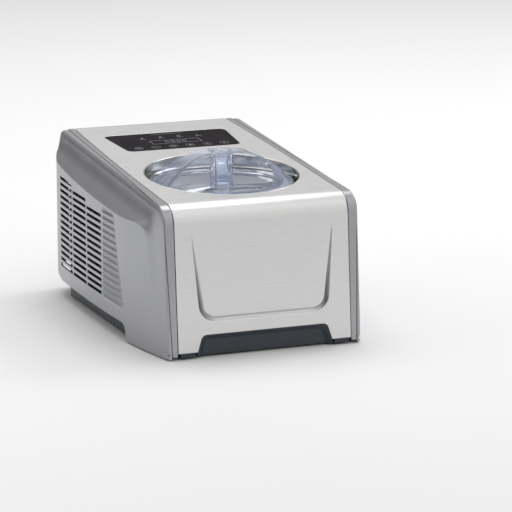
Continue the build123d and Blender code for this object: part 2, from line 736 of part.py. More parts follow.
def along_x(radius, x0, x1, y, z):
    return Pos((x0 + x1) / 2, y, z) * Rot(0, 90, 0) * Cylinder(radius, x1 - x0)


def fan_shroud():
    plate = block(FAN_X + 9, FAN_X + 11, CONDENSER_Y - 54, CONDENSER_Y + 54, CONDENSER_Z - 56,
                  CONDENSER_Z + 56)
    hole = along_x(FAN_R + 2, FAN_X - 20, FAN_X + 20, CONDENSER_Y, CONDENSER_Z)
    ring = along_x(FAN_R + 4, FAN_X - 8, FAN_X + 9, CONDENSER_Y, CONDENSER_Z)
    shroud = plate + ring - hole
    hub = along_x(14, FAN_X - 12, FAN_X - 9, CONDENSER_Y, CONDENSER_Z)
    for angle in (90, 210, 330):
        strut = block(-3, 0, 10, FAN_R + 3, -2.5, 2.5)
        hub = hub + Pos(FAN_X - 8, CONDENSER_Y, CONDENSER_Z) * Rot(angle, 0, 0) * strut
    bore = along_x(FAN_SHAFT_R + RUN_CLEARANCE, FAN_X - 20, FAN_X, CONDENSER_Y, CONDENSER_Z)
    return shroud + hub - bore


def fan_motor():
    can = along_x(15, FAN_X - 34, FAN_X - 12, CONDENSER_Y, CONDENSER_Z)
    bore = along_x(FAN_SHAFT_R + RUN_CLEARANCE, FAN_X - 22, FAN_X, CONDENSER_Y, CONDENSER_Z)
    return can - bore


def fan_rotor():
    hub = along_x(13, FAN_X - 7, FAN_X + 6, CONDENSER_Y, CONDENSER_Z)
    rotor = hub + along_x(FAN_SHAFT_R, FAN_X - 20, FAN_X - 6, CONDENSER_Y, CONDENSER_Z)
    for index in range(7):
        blade = Pos(0, 0, 31) * Rot(0, 0, 38) * Box(1.6, 17, 37)
        rotor = rotor + Pos(FAN_X, CONDENSER_Y, CONDENSER_Z) * Rot(index * 360 / 7, 0, 0) * blade
    reach = along_x(FAN_R, FAN_X - 20, FAN_X + 20, CONDENSER_Y, CONDENSER_Z)
    return rotor & reach


def pipe(points, radius, bend):
    """Round pipe along straight runs joined by tangent arcs."""
    path = FilletPolyline(*points, radius=bend)
    start = Plane(origin=path @ 0, z_dir=path % 0)
    return sweep(start * Circle(radius), path=path)


def filter_drier():
    body = tube(8, 0, 80, 140, DRIER_X, DRIER_Y)
    return fillet(body.edges().filter_by(GeomType.CIRCLE), 4)


def discharge_line():
    x, y = COMPRESSOR_X + 22, COMPRESSOR_Y + 34
    points = ((x, y, 147.5), (x, y, 166), (x, 193, 166), (88, 193, 166), (88, 193, 156), (113, 193, 156))
    return pipe(points, 2.5, 4.5)


def suction_line():
    x, y = COMPRESSOR_X - 14, COMPRESSOR_Y - 28
    points = ((x, y, 149), (x, y, 162), (x, 62, 162), (x + 20, 62, 162), (x + 20, 45, 162))
    return pipe(points, TUBE_R, 6)


def capillary_tube():
    x, y = DRIER_X, DRIER_Y
    points = ((x, y, 141), (x, y, 156), (x, 60, 156), (8, 60, 156), (8, 46, 156))
    return pipe(points, 1.2, 4)


def control_panel():
    return panel_prism(0, 0.15, PANEL_T)


def control_board():
    """Circuit board with touch pads, under the panel."""
    return panel_prism(-5, 6.0, BOARD_T)


def display_module():
    return panel_prism(-24, 2.2, 3.6)


def power_board():
    return block(22, 88, 62, 178, BOARD_Z - BOARD_T, BOARD_Z)


def power_board_parts():
    """Transformer, relays and capacitor of the power board."""
    transformer = block(30, 62, 72, 104, BOARD_Z, 197)
    relays = [block(68, 82, 74 + 26 * index, 92 + 26 * index, BOARD_Z, 189) for index in range(3)]
    capacitor = tube(9, 0, BOARD_Z, 195, 44, 132)
    return Compound([transformer, capacitor] + relays)


def board_tray():
    tray = block(18, 92, 58, 182, 167, 180) - block(20, 90, 60, 180, 169, 190)
    for x in (24, 86):
        for y in (64, 176):
            tray = tray + tube(2.5, 0, 168, BOARD_Z - BOARD_T, x, y)
    return tray


def ribbon_cable():
    front, back = 110, 110.6
    flat = block(-8, 8, front, back, 182, 215)
    link = block(7, 40, front, back, 182, 188)
    drop = block(34, 40, front, back, BOARD_Z, 184)
    return under_top(flat + link + drop, 7.7)


def temperature_sensor():
    return along_x(2.4, -9, 9, AXIS_Y + POT_R + POT_T + 3.4, 169.5)


def sector(outer, inner, low, high, middle, half_angle):
    """Part of an upright ring on the well axis."""
    ring = tube(outer, inner, low, high)
    reach = outer * 1.6
    corners = []
    for angle in (middle - half_angle, middle, middle + half_angle):
        turn = math.radians(angle)
        corners.append((reach * math.cos(turn), AXIS_Y + reach * math.sin(turn)))
    wedge = make_face(Polyline((0, AXIS_Y), *corners, close=True))
    return ring & (Pos(0, 0, low - 1) * extrude(wedge, high - low + 2))


def bowl():
    outside = Pos(0, AXIS_Y, (BOWL_FLOOR_Z + RIM_Z) / 2) * Cylinder(BOWL_R, RIM_Z - BOWL_FLOOR_Z)
    outside = fillet(outside.edges().filter_by(GeomType.CIRCLE).sort_by(Axis.Z)[0], 10)
    inner_h = RIM_Z + 20 - BOWL_FLOOR_Z - BOWL_T
    inside = Pos(0, AXIS_Y, BOWL_FLOOR_Z + BOWL_T + inner_h / 2) * Cylinder(BOWL_R - BOWL_T, inner_h)
    inside = fillet(inside.edges().filter_by(GeomType.CIRCLE).sort_by(Axis.Z)[0], 8.5)
    pan = outside + tube(RIM_R, 70, RIM_Z, RIM_Z + BOWL_T) - inside
    pan = pan + tube(POST_R + BOWL_T, 0, BOWL_FLOOR_Z, POST_TOP_Z)
    pan = pan - tube(POST_R, 0, BOWL_FLOOR_Z - 1, POST_TOP_Z + 1)
    for angle in (60, 180, 300):
        tab = sector(BOWL_R - BOWL_T + 0.2, BOWL_R - BOWL_T - TAB_DEPTH, TAB_Z, TAB_Z + 2, angle, 13)
        pan = pan + tab
    for side in (-1, 1):
        foot = sorted((side * 88, side * 93.8))
        ear = sorted((side * 92.3, side * 93.8))
        pan = pan + block(*foot, AXIS_Y - 5, AXIS_Y + 5, RIM_Z, RIM_Z + BOWL_T)
        pan = pan + block(*ear, AXIS_Y - 5, AXIS_Y + 5, RIM_Z, BAIL_Z + 4)
    return pan - along_x(BAIL_WIRE_R + RUN_CLEARANCE, -FAR, FAR, AXIS_Y, BAIL_Z)


def bowl_handle():
    """Wire bail, folded back in the gap round the lid, with pins turned in through the ears."""
    ring = Pos(0, AXIS_Y, BAIL_Z) * Torus(BAIL_R, BAIL_WIRE_R)
    bail = ring & block(-FAR, FAR, AXIS_Y, FAR, 0, FAR)
    for side in (-1, 1):
        pin = sorted((side * 92.4, side * BAIL_R))
        elbow = Pos(side * BAIL_R, AXIS_Y, BAIL_Z) * Sphere(BAIL_WIRE_R)
        bail = bail + along_x(BAIL_WIRE_R, *pin, AXIS_Y, BAIL_Z) + elbow
    return bail


def paddle():
    hub = tube(9.6, POST_R + BOWL_T + 0.6, 86, 166) + tube(9.6, 0, 166, 181)
    socket = SHAFT_SQUARE / 2 + 0.2
    hub = hub - tube(SHAFT_R + 0.3, 0, 160, SHAFT_TOP_Z - 9.5)
    hub = hub - block(-socket, socket, AXIS_Y - socket, AXIS_Y + socket, 165, SHAFT_TOP_Z + 0.5)
    hub = hub + tube(3.5, 0, 180.5, 183.4)
    for side in (-1, 1):
        arm = sorted((side * 8.5, side * 72))
        hub = hub + block(*arm, AXIS_Y - 4, AXIS_Y + 4, 86, 91)
        hub = hub + block(*arm, AXIS_Y - 2.5, AXIS_Y + 2.5, 155, 161)
        scraper = Pos(side * 73, AXIS_Y, 128) * Rot(0, 0, side * 18) * Box(2.6, 16, 78)
        fin = Pos(side * 40, AXIS_Y, 124) * Rot(0, 0, side * 38) * Box(2.6, 26, 68)
        hub = hub + scraper + fin
    return hub


def lid_opening():
    """Mix-in opening in the front of the lid's dish."""
    outline = make_face(Polyline((-31, -82), (31, -82), (44, -104), (-44, -104), close=True))
    outline = outline & (Pos(0, AXIS_Y) * Circle(66))
    return Pos(0, 0, 170) * extrude(fillet(outline.vertices(), 4), 30)


def lid_disc():
    disc = tube(LID_R, SKIRT_R - 1.8, LID_FLANGE_Z, LID_FLANGE_TOP_Z)
    disc = disc + tube(LID_R, LID_R - 2.2, LID_FLANGE_Z, LID_LIP_Z)
    disc = disc + tube(DISH_R, SKIRT_R - 1.8, DISH_FLOOR_Z, LID_FLANGE_TOP_Z)
    disc = disc + tube(DISH_R, 9, DISH_FLOOR_Z, DISH_FLOOR_Z + DISH_T)
    disc = disc + tube(SKIRT_R, SKIRT_R - 1.8, SKIRT_LOW_Z, DISH_FLOOR_Z + 1)
    for angle in (25, 145, 265):
        disc = disc + sector(DISH_R + 0.1, SKIRT_R - 1, SKIRT_LOW_Z, SKIRT_LOW_Z + 3, angle, 8)
    return disc - lid_opening()


def handle_height(x, drop):
    share = min(1.0, abs(x) / HANDLE_SPAN)
    rise = HANDLE_TOP_Z - LID_FLANGE_TOP_Z
    return LID_FLANGE_TOP_Z + rise * (1 - share ** HANDLE_POWER) - drop


def lid_handle():
    """Ribbon arch from rim to rim with a hollow square post under its crown."""
    steps = 16
    xs = [HANDLE_SPAN * math.sin(math.pi / 2 * (step / steps)) for step in range(-steps, steps + 1)]
    outer = [(x, handle_height(x, 0)) for x in xs]
    inner_span = HANDLE_SPAN - HANDLE_T - 1
    scale = inner_span / HANDLE_SPAN
    inner = []
    for x, z in outer:
        lowered = LID_FLANGE_TOP_Z + (z - LID_FLANGE_TOP_Z) * (1 - HANDLE_T / 41.8)
        inner.append((x * scale, lowered))
    edges = [Spline(*outer), Line(outer[-1], inner[-1]), Spline(*inner), Line(inner[0], outer[0])]
    ribbon = Pos(0, AXIS_Y, 0) * extrude(Plane.XZ * make_face(edges), 40, both=True)
    plan = make_face(Polyline((-90, -26), (-50, -17), (0, -12), (50, -17), (90, -26), (90, 26),
                              (50, 17), (0, 12), (-50, 17), (-90, 26), close=True))
    ribbon = ribbon & (Pos(0, AXIS_Y, 0) * extrude(plan, FAR))
    post = block(-12, 12, AXIS_Y - 11, AXIS_Y + 11, DISH_FLOOR_Z + DISH_T, HANDLE_TOP_Z - 1.5)
    hollow = block(-10.2, 10.2, AXIS_Y - 9.2, AXIS_Y + 9.2, 100, HANDLE_TOP_Z - 4)
    return ribbon + post - hollow


def lid_bush():
    bush = tube(9 - RUN_CLEARANCE, 4, DISH_FLOOR_Z, DISH_FLOOR_Z + DISH_T + 0.1)
    lip = tube(8.8, 4, DISH_FLOOR_Z + DISH_T + 0.1, DISH_FLOOR_Z + DISH_T + 1.6)
    return bush + lip


def build():
    left_cover = side_cover()
    save(steel_shell(), "steel_shell")
    save(left_cover, "left_cover")
    save(mirror(left_cover, Plane.YZ), "right_cover")
    save(trim_strip(-1), "left_trim")
    save(trim_strip(1), "right_trim")
    makers = [
        base_tray, rubber_feet, base_screws, rear_panel, rear_screws, power_inlet, well_collar,
        evaporator_pot, evaporator_coil, insulation_jacket, shaft_seal, drive_gear, counter_gear,
        counter_axle, motor_pinion, drive_shaft, drive_bushes, gearbox_lower, gearbox_upper,
        motor_case, motor_stator, motor_rotor, compressor_shell, compressor_bracket,
        compressor_grommets, compressor_relay, condenser_tube, condenser_fins, fan_shroud,
        fan_motor, fan_rotor, filter_drier, discharge_line, suction_line, capillary_tube,
        control_panel, control_board, display_module, power_board, power_board_parts, board_tray,
        ribbon_cable, temperature_sensor, bowl, bowl_handle, paddle, lid_disc, lid_handle, lid_bush,
    ]
    for maker in makers:
        save(maker(), maker.__name__)


build()
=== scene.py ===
import json
import math

import bmesh
import bpy
import numpy as np
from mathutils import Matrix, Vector
from mathutils.geometry import delaunay_2d_cdt


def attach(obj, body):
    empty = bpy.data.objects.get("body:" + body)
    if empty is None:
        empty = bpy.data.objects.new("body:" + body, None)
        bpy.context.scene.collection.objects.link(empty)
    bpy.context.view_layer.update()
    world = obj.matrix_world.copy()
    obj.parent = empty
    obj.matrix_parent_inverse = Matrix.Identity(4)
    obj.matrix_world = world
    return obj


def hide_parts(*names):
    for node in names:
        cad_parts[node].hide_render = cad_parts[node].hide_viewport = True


# Looks of the ice cream maker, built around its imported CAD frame.
# Shapes are worked out in millimetres and written as meshes in metres.

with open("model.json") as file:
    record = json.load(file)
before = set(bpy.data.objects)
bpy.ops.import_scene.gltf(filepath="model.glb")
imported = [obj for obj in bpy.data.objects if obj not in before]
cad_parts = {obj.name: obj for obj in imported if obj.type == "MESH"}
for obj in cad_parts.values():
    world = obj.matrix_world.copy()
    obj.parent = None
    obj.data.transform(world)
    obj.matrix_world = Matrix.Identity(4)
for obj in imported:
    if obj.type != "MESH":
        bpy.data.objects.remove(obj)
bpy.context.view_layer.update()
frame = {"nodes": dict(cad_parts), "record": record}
nodes = frame["nodes"]
MM = 0.001

# ---- driving sizes, as in the CAD
FRONT_Y = -211.5
LOW_Z = 8.0
LEAN = math.radians(4.75)
SLOPE = math.radians(4.3)
TOP_REF_Y = -166.0
TOP_REF_Z = 190.0
CORNER_R = 26.0
COVER_CORNER_R = 22.0
STEEL_BACK_Y = 206.0
BACK_Y = 209.0
STEEL_HALF = 115.0
STEEL_T = 1.5
TAPER_START_Y = -60.0
TAPER_LENGTH = 279.0
TAPER = (1.46, 5.54)
AXIS_Y = -60.0
WELL_R = 99.5
TRIM_LOW_Z = 4.0
TRIM_T = 2.8
TRIM_Y = (-214.0, -198.0, -150.0, 0.0, 209.0)
TRIM_X = (122.0, 127.5, 127.0, 122.0, 118.0)
COVER_LOW_Z = 2.0
COVER_T = 2.4
PLAN_Y = (-214.0, -183.0, -142.0, -78.0, 12.0, 92.0, 172.0, 209.0)
PLAN_X = (127.0, 134.0, 141.0, 148.2, 150.0, 149.0, 145.0, 134.0)
SHOULDER_X = (112.0, 124.0, 127.6, 129.2, 130.6, 133.0, 137.5, 143.5, 152.0)
SHOULDER_FRONT = (0.0, 0.0, 0.6, 4.5, 11.0, 23.0, 36.0, 50.0, 72.0)
SHOULDER_TOP = (0.0, 0.3, 1.6, 5.0, 11.0, 19.0, 27.0, 33.0, 38.0)
SHOULDER_BACK = (0.0, 0.0, 0.3, 1.0, 2.0, 4.0, 8.0, 14.0, 24.0)
BACK_CORNER_R = 6.0
LOUVRE_ROWS = 15
LOUVRE_PITCH = 8.4
LOUVRE_LOW_Z = 44.0
LOUVRE_HEIGHT = 4.0
LOUVRE_BARS = (-23.0, 38.0, 99.0, 160.0)
LOUVRE_BAR_HALF = 2.0
LOUVRE_TOP_DROP = 47.0
LID_FLANGE_TOP_Z = 187.2
HANDLE_TOP_Z = 229.0
HANDLE_SPAN = 86.0
HANDLE_POWER = 2.5
HANDLE_T = 3.0


# ---- mesh helpers
SLIVER_AREA = 2e-3
GRID_CLEARANCE = 0.9


def put(name, data):
    """New object in the scene."""
    obj = bpy.data.objects.new(name, data)
    bpy.context.scene.collection.objects.link(obj)
    return obj


def smooth(mesh, sharp=None):
    """Smooth shading, but for the edges that turn by more than the sharp angle, in degrees."""
    mesh.polygons.foreach_set("use_smooth", np.ones(len(mesh.polygons), bool))
    if sharp is not None:
        mesh.set_sharp_from_angle(angle=math.radians(sharp))


def unit(vectors):
    return vectors / np.maximum(np.linalg.norm(vectors, axis=1, keepdims=True), 1e-12)


def smooth_table(x, xs, ys):
    """Monotone cubic curve through a table."""
    x, xs, ys = (np.asarray(values, float) for values in (x, xs, ys))
    gaps = np.diff(xs)
    slopes = np.diff(ys) / gaps
    tangents = np.zeros_like(ys)
    tangents[0], tangents[-1] = slopes[0], slopes[-1]
    for i in range(1, len(xs) - 1):
        if slopes[i - 1] * slopes[i] > 0:
            tangents[i] = 2 * slopes[i - 1] * slopes[i] / (slopes[i - 1] + slopes[i])
    i = np.clip(np.searchsorted(xs, x) - 1, 0, len(xs) - 2)
    t = (x - xs[i]) / gaps[i]
    t = np.clip(t, -0.5, 1.5)
    a = (1 + 2 * t) * (1 - t) ** 2 * ys[i] + t ** 2 * (3 - 2 * t) * ys[i + 1]
    return a + gaps[i] * (t * (1 - t) ** 2 * tangents[i] - t ** 2 * (1 - t) * tangents[i + 1])


def smooth_min(a, b, blend):
    """The smaller of two values, rounded off where they meet."""
    share = np.clip(0.5 + 0.5 * (b - a) / blend, 0, 1)
    return b * (1 - share) + a * share - blend * share * (1 - share)


def rounded(points, radii, step=10.0):
    """Closed outline whose corners are arcs of the given radii."""
    count = len(points)
    result = []
    for i in range(count):
        corner = np.array(points[i], float)
        back = np.array(points[i - 1], float) - corner
        ahead = np.array(points[(i + 1) % count], float) - corner
        back, ahead = back / np.linalg.norm(back), ahead / np.linalg.norm(ahead)
        turn = math.pi - math.acos(max(-1, min(1, float(back @ ahead))))
        radius = radii[i]
        if radius <= 0 or turn < 0.02:
            result.append(corner)
            continue
        reach = radius * math.tan(turn / 2)
        middle = back + ahead
        centre = corner + middle / np.linalg.norm(middle) * radius / math.cos(turn / 2)
        start = corner + back * reach - centre
        side = np.sign(start[1] * back[0] - start[0] * back[1])
        pieces = max(2, int(math.degrees(turn) / step) + 1)
        for k in range(pieces + 1):
            angle = side * turn * k / pieces
            c, s = math.cos(angle), math.sin(angle)
            result.append(centre + (c * start[0] - s * start[1], s * start[0] + c * start[1]))
    return np.array(result)


def dense(loop, spacing):
    """Closed outline with extra points so that no side is longer than the spacing."""
    points = []
    for a, b in zip(loop, np.roll(loop, -1, axis=0)):
        pieces = max(1, int(math.ceil(np.linalg.norm(b - a) / spacing)))
        for k in range(pieces):
            points.append(a + (b - a) * k / pieces)
    return np.array(points)


def inside(points, loop):
    """Which points lie inside a closed outline."""
    x, y = points[:, 0][:, None], points[:, 1][:, None]
    x1, y1 = loop[:, 0], loop[:, 1]
    x2, y2 = np.roll(x1, -1), np.roll(y1, -1)
    crosses = (y1 > y) != (y2 > y)
    at = (x2 - x1) * (y - y1) / np.where(y2 == y1, 1e-12, y2 - y1) + x1
    return (crosses & (x < at)).sum(1) % 2 == 1


def inside_region(points, loops):
    """Which points lie inside the first outline and outside the others."""
    keep = inside(points, loops[0])
    for hole in loops[1:]:
        keep &= ~inside(points, hole)
    return keep


def distance_to(points, others):
    """Distance from each point to the nearest of the others."""
    best = np.full(len(points), 1e9)
    for start in range(0, len(points), 400):
        part = points[start:start + 400]
        gaps = np.linalg.norm(part[:, None, :] - others[None, :, :], axis=2)
        best[start:start + 400] = gaps.min(1)
    return best


def fill(loops, fixed, grid, clear):
    """Triangles of a flat region: outer outline first, then holes, with fixed and grid points inside.
    Grid points closer than clear to anything else are dropped. Returns points and triangles."""
    edges_points = np.vstack(loops)
    anchors = np.vstack([edges_points] + ([fixed] if len(fixed) else []))
    grid = grid[inside_region(grid, loops)]
    grid = grid[distance_to(grid, anchors) > clear]
    points = np.vstack([anchors, grid]).astype(np.float32).astype(float)
    edges = []
    start = 0
    for loop in loops:
        count = len(loop)
        edges += [(start + i, start + (i + 1) % count) for i in range(count)]
        start += count
    result = delaunay_2d_cdt([Vector(p) for p in points], edges, [], 0, 1e-7)
    verts, faces, origin = result[0], result[2], result[3]
    back = np.array([o[0] if o else -1 for o in origin])
    found = np.array([[v.x, v.y] for v in verts])
    if (back < 0).any():
        extra = np.where(back < 0)[0]
        back[extra] = len(points) + np.arange(len(extra))
        points = np.vstack([points, found[extra]])
    tris = back[np.array(faces)]
    tris = tris[inside_region(points[tris].mean(1), loops)]
    a, b, c = (points[tris[:, k]] for k in range(3))
    area = (b[:, 0] - a[:, 0]) * (c[:, 1] - a[:, 1]) - (b[:, 1] - a[:, 1]) * (c[:, 0] - a[:, 0])
    tris[area < 0] = tris[area < 0][:, ::-1]
    return points, tris[np.abs(area) > SLIVER_AREA]


def surface_normals(place, u, v, step=0.05):
    """Unit normals of the surface place(u, v)."""
    across = place(u + step, v) - place(u - step, v)
    along = place(u, v + step) - place(u, v - step)
    return unit(np.cross(across, along))


def new_object(name, verts, faces, normals=None, uvs=None):
    """Mesh object from points in millimetres; normals are one per face corner."""
    mesh = bpy.data.meshes.new(name)
    mesh.from_pydata((np.asarray(verts) * MM).tolist(), [], [list(map(int, f)) for f in faces])
    if uvs is not None:
        layer = mesh.uv_layers.new(name="UVMap")
        corner = np.zeros(len(mesh.loops), np.int32)
        mesh.loops.foreach_get("vertex_index", corner)
        layer.data.foreach_set("uv", (np.asarray(uvs)[corner] * MM).astype(np.float32).ravel())
    smooth(mesh)
    if normals is not None:
        mesh.normals_split_custom_set(np.asarray(normals, float).tolist())
    mesh.update()
    return put(name, mesh)


def thicken(name, points, normals, faces, thick, edge, uvs=None, steps=4):
    """Closed plate from an open skin: its edges roll over by a radius, then run to the inner face."""
    sides = dict.fromkeys((int(a), int(b)) for face in faces
                          for a, b in zip(face, [*face[1:], face[0]]))
    ahead = {a: b for a, b in sides if (b, a) not in sides}
    behind = {b: a for a, b in ahead.items()}
    rim = sorted(ahead)
    slot_of = {vertex: i for i, vertex in enumerate(rim)}
    here = points[rim]
    to_next = unit(points[[ahead[i] for i in rim]] - here)
    from_last = unit(here - points[[behind[i] for i in rim]])
    rim_normals = normals[rim]
    out_next = unit(np.cross(to_next, rim_normals))
    out_last = unit(np.cross(from_last, rim_normals))
    dots = np.maximum((out_next * out_last).sum(1, keepdims=True), -0.5)
    out = (out_next + out_last) / (1 + dots)
    out_unit = unit(out)
    outer = points.copy()
    outer[rim] = here - edge * out
    verts = [outer]
    count = len(points)
    rings, ring_normals = [np.array(rim)], [rim_normals]
    for k in range(1, steps + 1):
        turn = math.pi / 2 * k / steps
        verts.append(here - edge * (1 - math.sin(turn)) * out
                     - edge * (1 - math.cos(turn)) * rim_normals)
        rings.append(count + np.arange(len(rim)))
        ring_normals.append(unit(math.cos(turn) * rim_normals + math.sin(turn) * out_unit))
        count += len(rim)
    verts.append(points - thick * normals)
    inner_start = count
    all_faces, all_normals = [], []
    for face in faces:
        all_faces.append([int(i) for i in face])
        all_normals += [normals[i] for i in face]
    following = [slot_of[ahead[i]] for i in rim]
    for k in range(len(rings) - 1):
        low, high = rings[k], rings[k + 1]
        for i, j in enumerate(following):
            all_faces.append([low[j], low[i], high[i], high[j]])
            all_normals += [ring_normals[k][j], ring_normals[k][i], ring_normals[k + 1][i],
                            ring_normals[k + 1][j]]
    last = rings[-1]
    for i, j in enumerate(following):
        all_faces.append([last[j], last[i], inner_start + rim[i], inner_start + rim[j]])
        all_normals += [out_unit[j], out_unit[i], out_unit[i], out_unit[j]]
    for face in faces:
        all_faces.append([inner_start + int(i) for i in face][::-1])
        all_normals += [-normals[i] for i in face][::-1]
    if uvs is not None:
        uvs = np.vstack([uvs] + [uvs[rim]] * steps + [uvs])
    return new_object(name, np.vstack(verts), all_faces, all_normals, uvs)


def plate(name, loops, place, thick, edge, spacing=8.0, fixed=(), rows=None):
    """Plate over a flat outline with holes, carried into space by place(u, v)."""
    low, high = loops[0].min(0), loops[0].max(0)
    us = np.arange(low[0] + spacing / 2, high[0], spacing)
    vs = rows if rows is not None else np.arange(low[1] + spacing / 2, high[1], spacing)
    grid = np.array([(u, v) for v in vs for u in us])
    fixed = np.asarray(fixed, float).reshape(-1, 2)
    points, tris = fill(loops, fixed, grid, edge + GRID_CLEARANCE)
    u, v = points[:, 0], points[:, 1]
    return thicken(name, place(u, v), surface_normals(place, u, v), tris, thick, edge, uvs=points)


def revolve(name, profile, segments):
    """Closed ring about the well's axis from a closed (radius, height) outline."""
    profile = np.asarray(profile, float)
    turns = np.arange(segments) * 2 * math.pi / segments
    count = len(profile)
    ring = [[r * math.cos(t), AXIS_Y + r * math.sin(t), z] for t in turns for r, z in profile]
    pairs = [(i, (i + 1) % count) for i in range(count)]
    faces = [[s * count + i, t * count + i, t * count + j, s * count + j]
             for s in range(segments) for t in [(s + 1) % segments] for i, j in pairs]
    return clean(new_object(name, ring, faces))


def clean(obj, sharp=35.0):
    """Welds doubles, turns faces outwards and smooths all but the sharp edges."""
    work = bmesh.new()
    work.from_mesh(obj.data)
    bmesh.ops.remove_doubles(work, verts=work.verts, dist=1e-6)
    bmesh.ops.dissolve_degenerate(work, dist=1e-7, edges=work.edges)
    bmesh.ops.recalc_face_normals(work, faces=work.faces)
    work.to_mesh(obj.data)
    work.free()
    smooth(obj.data, sharp)
    return obj


def apply_modifiers(obj):
    graph = bpy.context.evaluated_depsgraph_get()
    mesh = bpy.data.meshes.new_from_object(obj.evaluated_get(graph))
    obj.modifiers.clear()
    obj.data = mesh


def combine(obj, other, operation):
    """Exact boolean of two closed meshes; the second one is used up."""
    step = obj.modifiers.new(operation, "BOOLEAN")
    step.operation = operation
    step.solver = "EXACT"
    step.object = other
    apply_modifiers(obj)
    bpy.data.objects.remove(other)


def prism(name, loop, low, high):
    """Upright prism of a plan outline."""
    count = len(loop)
    verts = [(x, y, low) for x, y in loop] + [(x, y, high) for x, y in loop]
    faces = [list(range(count))[::-1], list(range(count, 2 * count))]
    faces += [[i, (i + 1) % count, count + (i + 1) % count, count + i] for i in range(count)]
    return clean(new_object(name, verts, faces))


SOFT_ANGLE = 30.0


def softened(node, width):
    """Copy of a CAD node with its hard edges rounded, which stands for the node."""
    mesh = nodes[node].data.copy()
    obj = put(node + "_finish", mesh)
    work = bmesh.new()
    work.from_mesh(mesh)
    bmesh.ops.remove_doubles(work, verts=work.verts, dist=2e-6)
    bmesh.ops.dissolve_limit(work, angle_limit=math.radians(0.6), verts=work.verts,
                             edges=work.edges, delimit={"NORMAL"})
    work.to_mesh(mesh)
    work.free()
    if "custom_normal" in mesh.attributes:
        mesh.attributes.remove(mesh.attributes["custom_normal"])
    smooth(mesh, SOFT_ANGLE)
    step = obj.modifiers.new("edges", "BEVEL")
    step.width = width * MM
    step.segments = 2
    step.limit_method = "ANGLE"
    step.angle_limit = math.radians(SOFT_ANGLE)
    step.use_clamp_overlap = True
    obj.modifiers.new("weights", "WEIGHTED_NORMAL").keep_sharp = True
    apply_modifiers(obj)
    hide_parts(node)
    return obj


# ---- materials
NOISE_SPAN = (0.3, 0.7)


def shader(name, colour, rough, metallic=0.0, **inputs):
    material = bpy.data.materials.new(name)
    material.use_nodes = True
    bsdf = material.node_tree.nodes["Principled BSDF"]
    bsdf.inputs["Base Color"].default_value = (*colour, 1)
    bsdf.inputs["Roughness"].default_value = rough
    bsdf.inputs["Metallic"].default_value = metallic
    for key, value in inputs.items():
        bsdf.inputs[key.replace("_", " ")].default_value = value
    return material, bsdf


def add(owner, kind, **settings):
    """New node of a material or of the world."""
    node = owner.node_tree.nodes.new(kind)
    for key, value in settings.items():
        setattr(node, key, value)
    return node


def join(source, target):
    source.id_data.links.new(source, target)


def noise(material, scale, stretch=(1, 1, 1), detail=3.0, source="Object"):
    """Noise in the object's own axes or its UVs, finer along the axes with a larger stretch."""
    where = add(material, "ShaderNodeTexCoord")
    mapping = add(material, "ShaderNodeMapping")
    mapping.inputs["Scale"].default_value = stretch
    texture = add(material, "ShaderNodeTexNoise")
    texture.inputs["Scale"].default_value = scale
    texture.inputs["Detail"].default_value = detail
    join(where.outputs[source], mapping.inputs["Vector"])
    join(mapping.outputs["Vector"], texture.inputs["Vector"])
    return texture.outputs["Fac"]


def spread(material, value, low, high):
    """Maps noise onto a range."""
    node = add(material, "ShaderNodeMapRange")
    for key, size in zip(("From Min", "From Max", "To Min", "To Max"), (*NOISE_SPAN, low, high)):
        node.inputs[key].default_value = size
    join(value, node.inputs["Value"])
    return node.outputs["Result"]


def vary(material, bsdf, value, dark, light):
    """Base colour between two tones."""
    ramp = add(material, "ShaderNodeValToRGB")
    for stop, place, tone in zip(ramp.color_ramp.elements, NOISE_SPAN, (dark, light)):
        stop.position, stop.color = place, (*tone, 1)
    join(value, ramp.inputs["Fac"])
    join(ramp.outputs["Color"], bsdf.inputs["Base Color"])


def bump(material, bsdf, value, strength, distance):
    node = add(material, "ShaderNodeBump")
    node.inputs["Strength"].default_value = strength
    node.inputs["Distance"].default_value = distance
    join(value, node.inputs["Height"])
    join(node.outputs["Normal"], bsdf.inputs["Normal"])


def scaled(colour, factor):
    return tuple(min(1.0, c * factor) for c in colour)


def surface(name, colour, rough, metallic=0.0, grain=900.0, tone=0.08, relief=0.15,
            stretch=(1, 1, 1), **inputs):
    """Finish with slight mottling of colour and roughness and a fine surface grain."""
    material, bsdf = shader(name, colour, rough, metallic, **inputs)
    cloud = noise(material, 35.0, stretch)
    vary(material, bsdf, cloud, scaled(colour, 1 - tone), scaled(colour, 1 + tone))
    join(spread(material, cloud, rough * 0.94, rough * 1.06), bsdf.inputs["Roughness"])
    bump(material, bsdf, noise(material, grain, stretch, 2.0), relief, 0.0002)
    return material


# PRESS_SHADE is a painted shade colour for the steel's pressed groove.
PRESS_SHADE = (0.30, 0.29, 0.28, 1)
LID_SHADOW = (0.93, 0.945, 0.97, 1)


